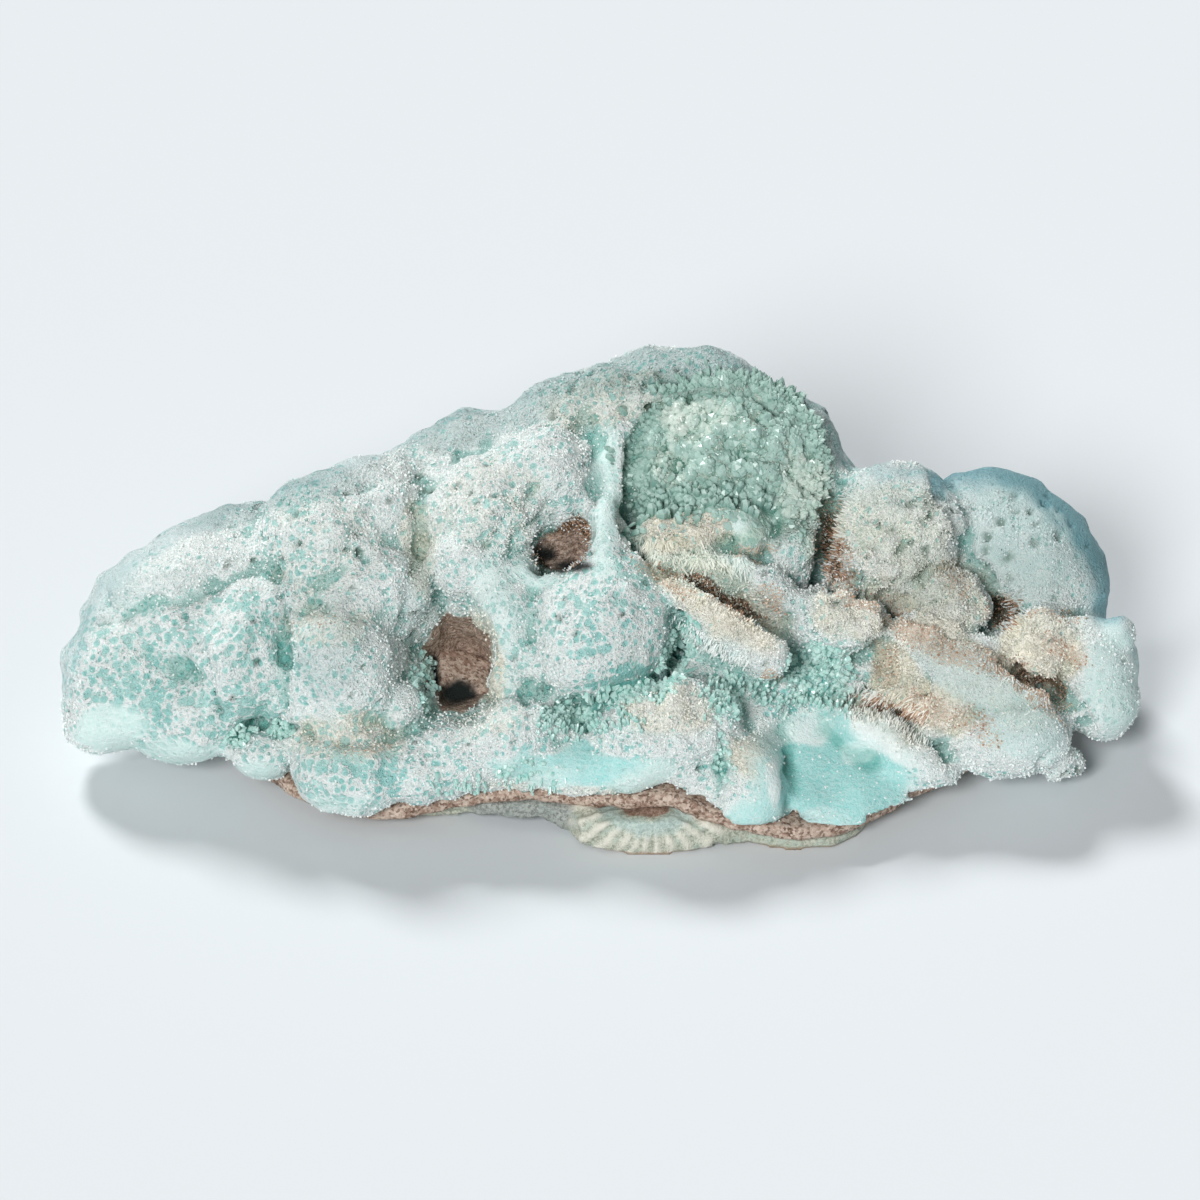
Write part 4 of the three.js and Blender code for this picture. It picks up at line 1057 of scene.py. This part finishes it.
# Fringes of long crystals: how many, how long and wide, which way they lean (across and up), how far they
# reach from the line, then the points of the line.
blades = [
    (110, 1.8, 0.8, (0.7, -0.5), 1.3, (11, 30), (10.5, 26), (8.5, 23.5)),
    (70, 1.6, 0.8, (0.1, -0.9), 1.2, (8.5, 23.5), (4, 21.2), (0, 20.6), (-4, 20)),
    (90, 1.8, 0.7, (-0.1, 0.9), 1.2, (-8, 17.5), (-4, 17), (0, 16.5), (4, 18)),
    (70, 1.2, 0.6, (0, -0.9), 1.2, (-22, 10), (-16, 9.8), (-10, 9.6), (-5, 9.4)),
    (160, 1.8, 0.8, (0.2, 0.8), 1.8, (15, 21), (20, 21.5), (25, 21), (31, 21)),
]
domeBlades = [
    (60, 1.8, 1.2, (0.5, 0.6), 1.0, (4.6, 44), (5.4, 47), (7.5, 50)),
    (150, 2.2, 1.4, (0.1, 0.9), 1.4, (6, 45.4), (10, 46.4), (15, 47), (20, 46.4)),
]
fibres = [
    (520, 1.4, 0.34, (0.1, -0.8), 0.8, (6, 40.4), (10, 39.4), (14, 39), (19, 38)),
    (300, 1.1, 0.34, (-0.3, -0.8), 0.6, (10, 30.4), (14, 28), (18, 25.8)),
    (260, 1.1, 0.3, (0.5, 0.8), 0.6, (9, 35), (14, 33), (20, 30)),
    (600, 1.4, 0.26, (-0.8, 0.3), 0.9, (32, 46), (31, 42), (29.5, 38)),
    (500, 1.4, 0.26, (0.3, 0.8), 0.8, (33, 18.4), (38, 17.8), (42, 15.5)),
    (500, 1.4, 0.26, (-0.5, -0.7), 0.8, (33, 21.5), (38, 20.6), (42, 18.5)),
    (500, 1.3, 0.26, (-0.4, -0.8), 0.7, (50, 25.5), (55, 22.5), (60, 19)),
    (400, 1.3, 0.26, (-0.8, 0.2), 0.8, (54, 34), (54, 31), (53, 28.5)),
]


crystals = {"dome": 4400, "gullies": 1400, "needles": 14000, "grains": 21000}


def makeCrystals(surface, values):
    draw = np.random.default_rng(7)
    painted = ("cream", "tan", "earth", "green", "rim", "duskShade")
    x, y = surface.points[:, 0], upIn(surface.points)
    front = ramp(surface.normals @ towardsEye, -0.15, 0.15)

    def jitter(count, amount):
        return draw.normal(scale=amount, size=(count, 3))

    # the dome's druse
    fromMiddle = np.hypot((x - 16.2) / 13.2, (y - 51) / 12.2)
    inDome = 1 - ramp(fromMiddle, 0.85, 1.05)
    weight = front * inDome * ramp(y - 44.4 + (x - 14) * 0.1, -1, 2)
    places = surface.places(weight, crystals["dome"], draw)
    feet = places.of(surface.points)
    count = len(feet)
    axes = feet - seen(16.3, 46, 50)
    axes /= np.linalg.norm(axes, axis=1)[:, None]
    rim = ramp(places.of(fromMiddle), 0.72, 1.0)
    axes += jitter(count, 1) * (0.5 - 0.3 * rim)[:, None]
    tones = tone(108, 156, 144), tone(176, 203, 194), tone(222, 230, 220)
    greyGreen = crystalMaterial("dome crystal", *tones, 0.3)
    widths = draw.uniform(0.5, 1.8, count) * (1 - 0.3 * rim)
    lengths = draw.uniform(1.0, 1.5, count) + rim
    scatter("dome_crystals", crystalShape(5, 0.42, 0.5, 0.72), feet - places.of(surface.normals), axes,
            widths, lengths, greyGreen, draw, {"milky": places.of(values["milky"])})

    # clear sea-green crystals in the gullies
    places = surface.places(front * ramp(values["teal"], 0.3, 0.9), crystals["gullies"], draw)
    feet, axes = places.of(surface.points), places.of(surface.normals)
    count = len(feet)
    tones = tone(122, 192, 182), tone(204, 232, 225), tone(232, 246, 240)
    seaGreen = crystalMaterial("sea-green crystal", *tones)
    scatter("gully_crystals", crystalShape(5, 0.4, 0.5, 0.75), feet - 0.6 * axes, axes + jitter(count, 0.3),
            draw.uniform(0.5, 1.2, count), draw.uniform(0.8, 1.5, count), seaGreen, draw,
            {"milky": places.of(values["milky"])})

    # fringes of long crystals: near a line, all leaning one way
    for name, material, rows in (
        ("clear_blades", seaGreen, blades),
        ("dome_blades", greyGreen, domeBlades),
        ("pale_fibres", grainMaterial(), fibres),
    ):
        feet, axes, widths, lengths, own = [], [], [], [], []
        for number, length, width, lean, reach, *line in rows:
            distance = distanceToLine(x, y, line)
            weight = front * (distance < 3 * reach) * np.exp(-((distance / reach) ** 2)) + leastWeight
            places = surface.places(weight, number, draw)
            count = len(places.corners)
            axis = 0.5 * places.of(surface.normals) + seen(*lean, 0) + 0.3 * towardsEye + jitter(count, 0.18)
            feet.append(places.of(surface.points) - 0.3 * axis)
            axes.append(axis)
            widths.append(width * draw.uniform(0.5, 1.2, count))
            lengths.append(length * draw.uniform(0.5, 1.2, count))
            own.append({key: places.of(values[key]) for key in ("milky", *painted)})
        feet, axes, widths, lengths = map(np.concatenate, (feet, axes, widths, lengths))
        own = {key: np.concatenate([part[key] for part in own]) for key in own[0]}
        scatter(name, crystalShape(5, 0.4, 0.42, 0.8), feet, axes, widths, lengths, material, draw, own)

    # needles, like coral, over the rough parts and in the gaps
    weight = front * (1 - values["smooth"])
    weight *= ramp(values["rough"], 0.5, 1.0) * ramp(values["cover"], 0.5, 0.8)
    weight = np.maximum(weight, front * ramp(values["earth"], 0.25, 0.7) * 2) * (1 - values["rock"])
    places = surface.places(weight * (1 - 0.9 * inDome), crystals["needles"], draw)
    feet, axes = places.of(surface.points), places.of(surface.normals)
    count = len(feet)
    sugar = grainMaterial()
    scatter("fine_needles", crystalShape(3, 0.42, 0.38, 0.6), feet - 0.25 * axes, axes + jitter(count, 0.5),
            draw.uniform(0.12, 0.3, count), draw.uniform(0.35, 0.75, count), sugar, draw,
            {name: places.of(values[name]) for name in painted})

    # fine white grains
    bare = (1 - 0.9 * ramp(values["smooth"], 0.15, 0.7)) * (1 - 0.8 * inDome)
    bare *= (1 - 0.8 * ramp(values["teal"], 0.3, 0.9)) * (1 - ramp(values["rim"], 0.15, 0.5))
    bare *= (1 - 0.5 * values["cavity"]) * (0.06 + ramp(values["cover"], 0.45, 0.85))
    bare *= (1 - values["rock"]) * (1 - ramp(values["pit"], 0.1, 0.4))
    for number in (1, 2):
        places = surface.places((0.1 + front) * bare, crystals["grains"], draw)
        feet, axes = places.of(surface.points), places.of(surface.normals)
        count = len(feet)
        widths = 0.16 + 0.34 * draw.uniform(0, 1, count) ** 2
        scatter(f"sugar_grains_{number}", grainShape(), feet - 0.06 * axes, axes + jitter(count, 0.5),
                widths, widths * draw.uniform(0.5, 1.1, count), sugar, draw,
                {name: places.of(values[name]) for name in painted})


def makeStudio():
    floorSize = 4.0
    bm = bmesh.new()
    bmesh.ops.create_grid(bm, x_segments=1, y_segments=1, size=floorSize)
    mesh = bpy.data.meshes.new("floor")
    bm.to_mesh(mesh)
    bm.free()
    floor = bpy.data.objects.new("floor", mesh)
    bpy.context.scene.collection.objects.link(floor)
    mesh.materials.append(plainMaterial("floor", studio["floorColour"], 0.95))
    for name, energy, size, travel in studio["suns"]:
        light = bpy.data.lights.new(name, "SUN")
        light.energy = energy
        light.angle = math.radians(size)
        lamp = bpy.data.objects.new(name, light)
        bpy.context.scene.collection.objects.link(lamp)
        lamp.rotation_mode = "QUATERNION"
        lamp.rotation_quaternion = Vector(travel).to_track_quat("-Z", "Y")
    world = bpy.data.worlds.new("studio")
    bpy.context.scene.world = world
    world.use_nodes = True
    background = world.node_tree.nodes["Background"]
    background.inputs["Color"].default_value = (*studio["worldColour"], 1)
    background.inputs["Strength"].default_value = studio["worldStrength"]


studio = {
    "floorColour": (0.73, 0.77, 0.795),
    "suns": [("key", 2.4, 20, (0.28, 0.85, -0.6)), ("back", 2.3, 14, (0.43, -0.88, -0.97))],
    "worldColour": (1.0, 1.0, 1.0),
    "worldStrength": 0.16,
}


def makeCamera():
    across, up, back = sight["aim"]
    aim = Vector((seen(across, up, back) - origin) * mm)
    camera = bpy.data.cameras.new("camera")
    camera.sensor_width = 36
    camera.lens = 18 / (sight["frameWidth"] / 2 / sight["distance"])
    camera.clip_end = 100
    body = bpy.data.objects.new("camera", camera)
    bpy.context.scene.collection.objects.link(body)
    eye = Vector(towardsEye)
    body.location = aim + eye * sight["distance"] * mm
    body.rotation_mode = "QUATERNION"
    body.rotation_quaternion = (-eye).to_track_quat("-Z", "Y")
    bpy.context.scene.camera = body


bpy.context.scene.view_settings.view_transform = "Standard"
makeCamera()
makeStudio()
print("camera and light")
surface, values = makeCrust()
makePlate()
makeUnder()
makeCrystals(surface, values)
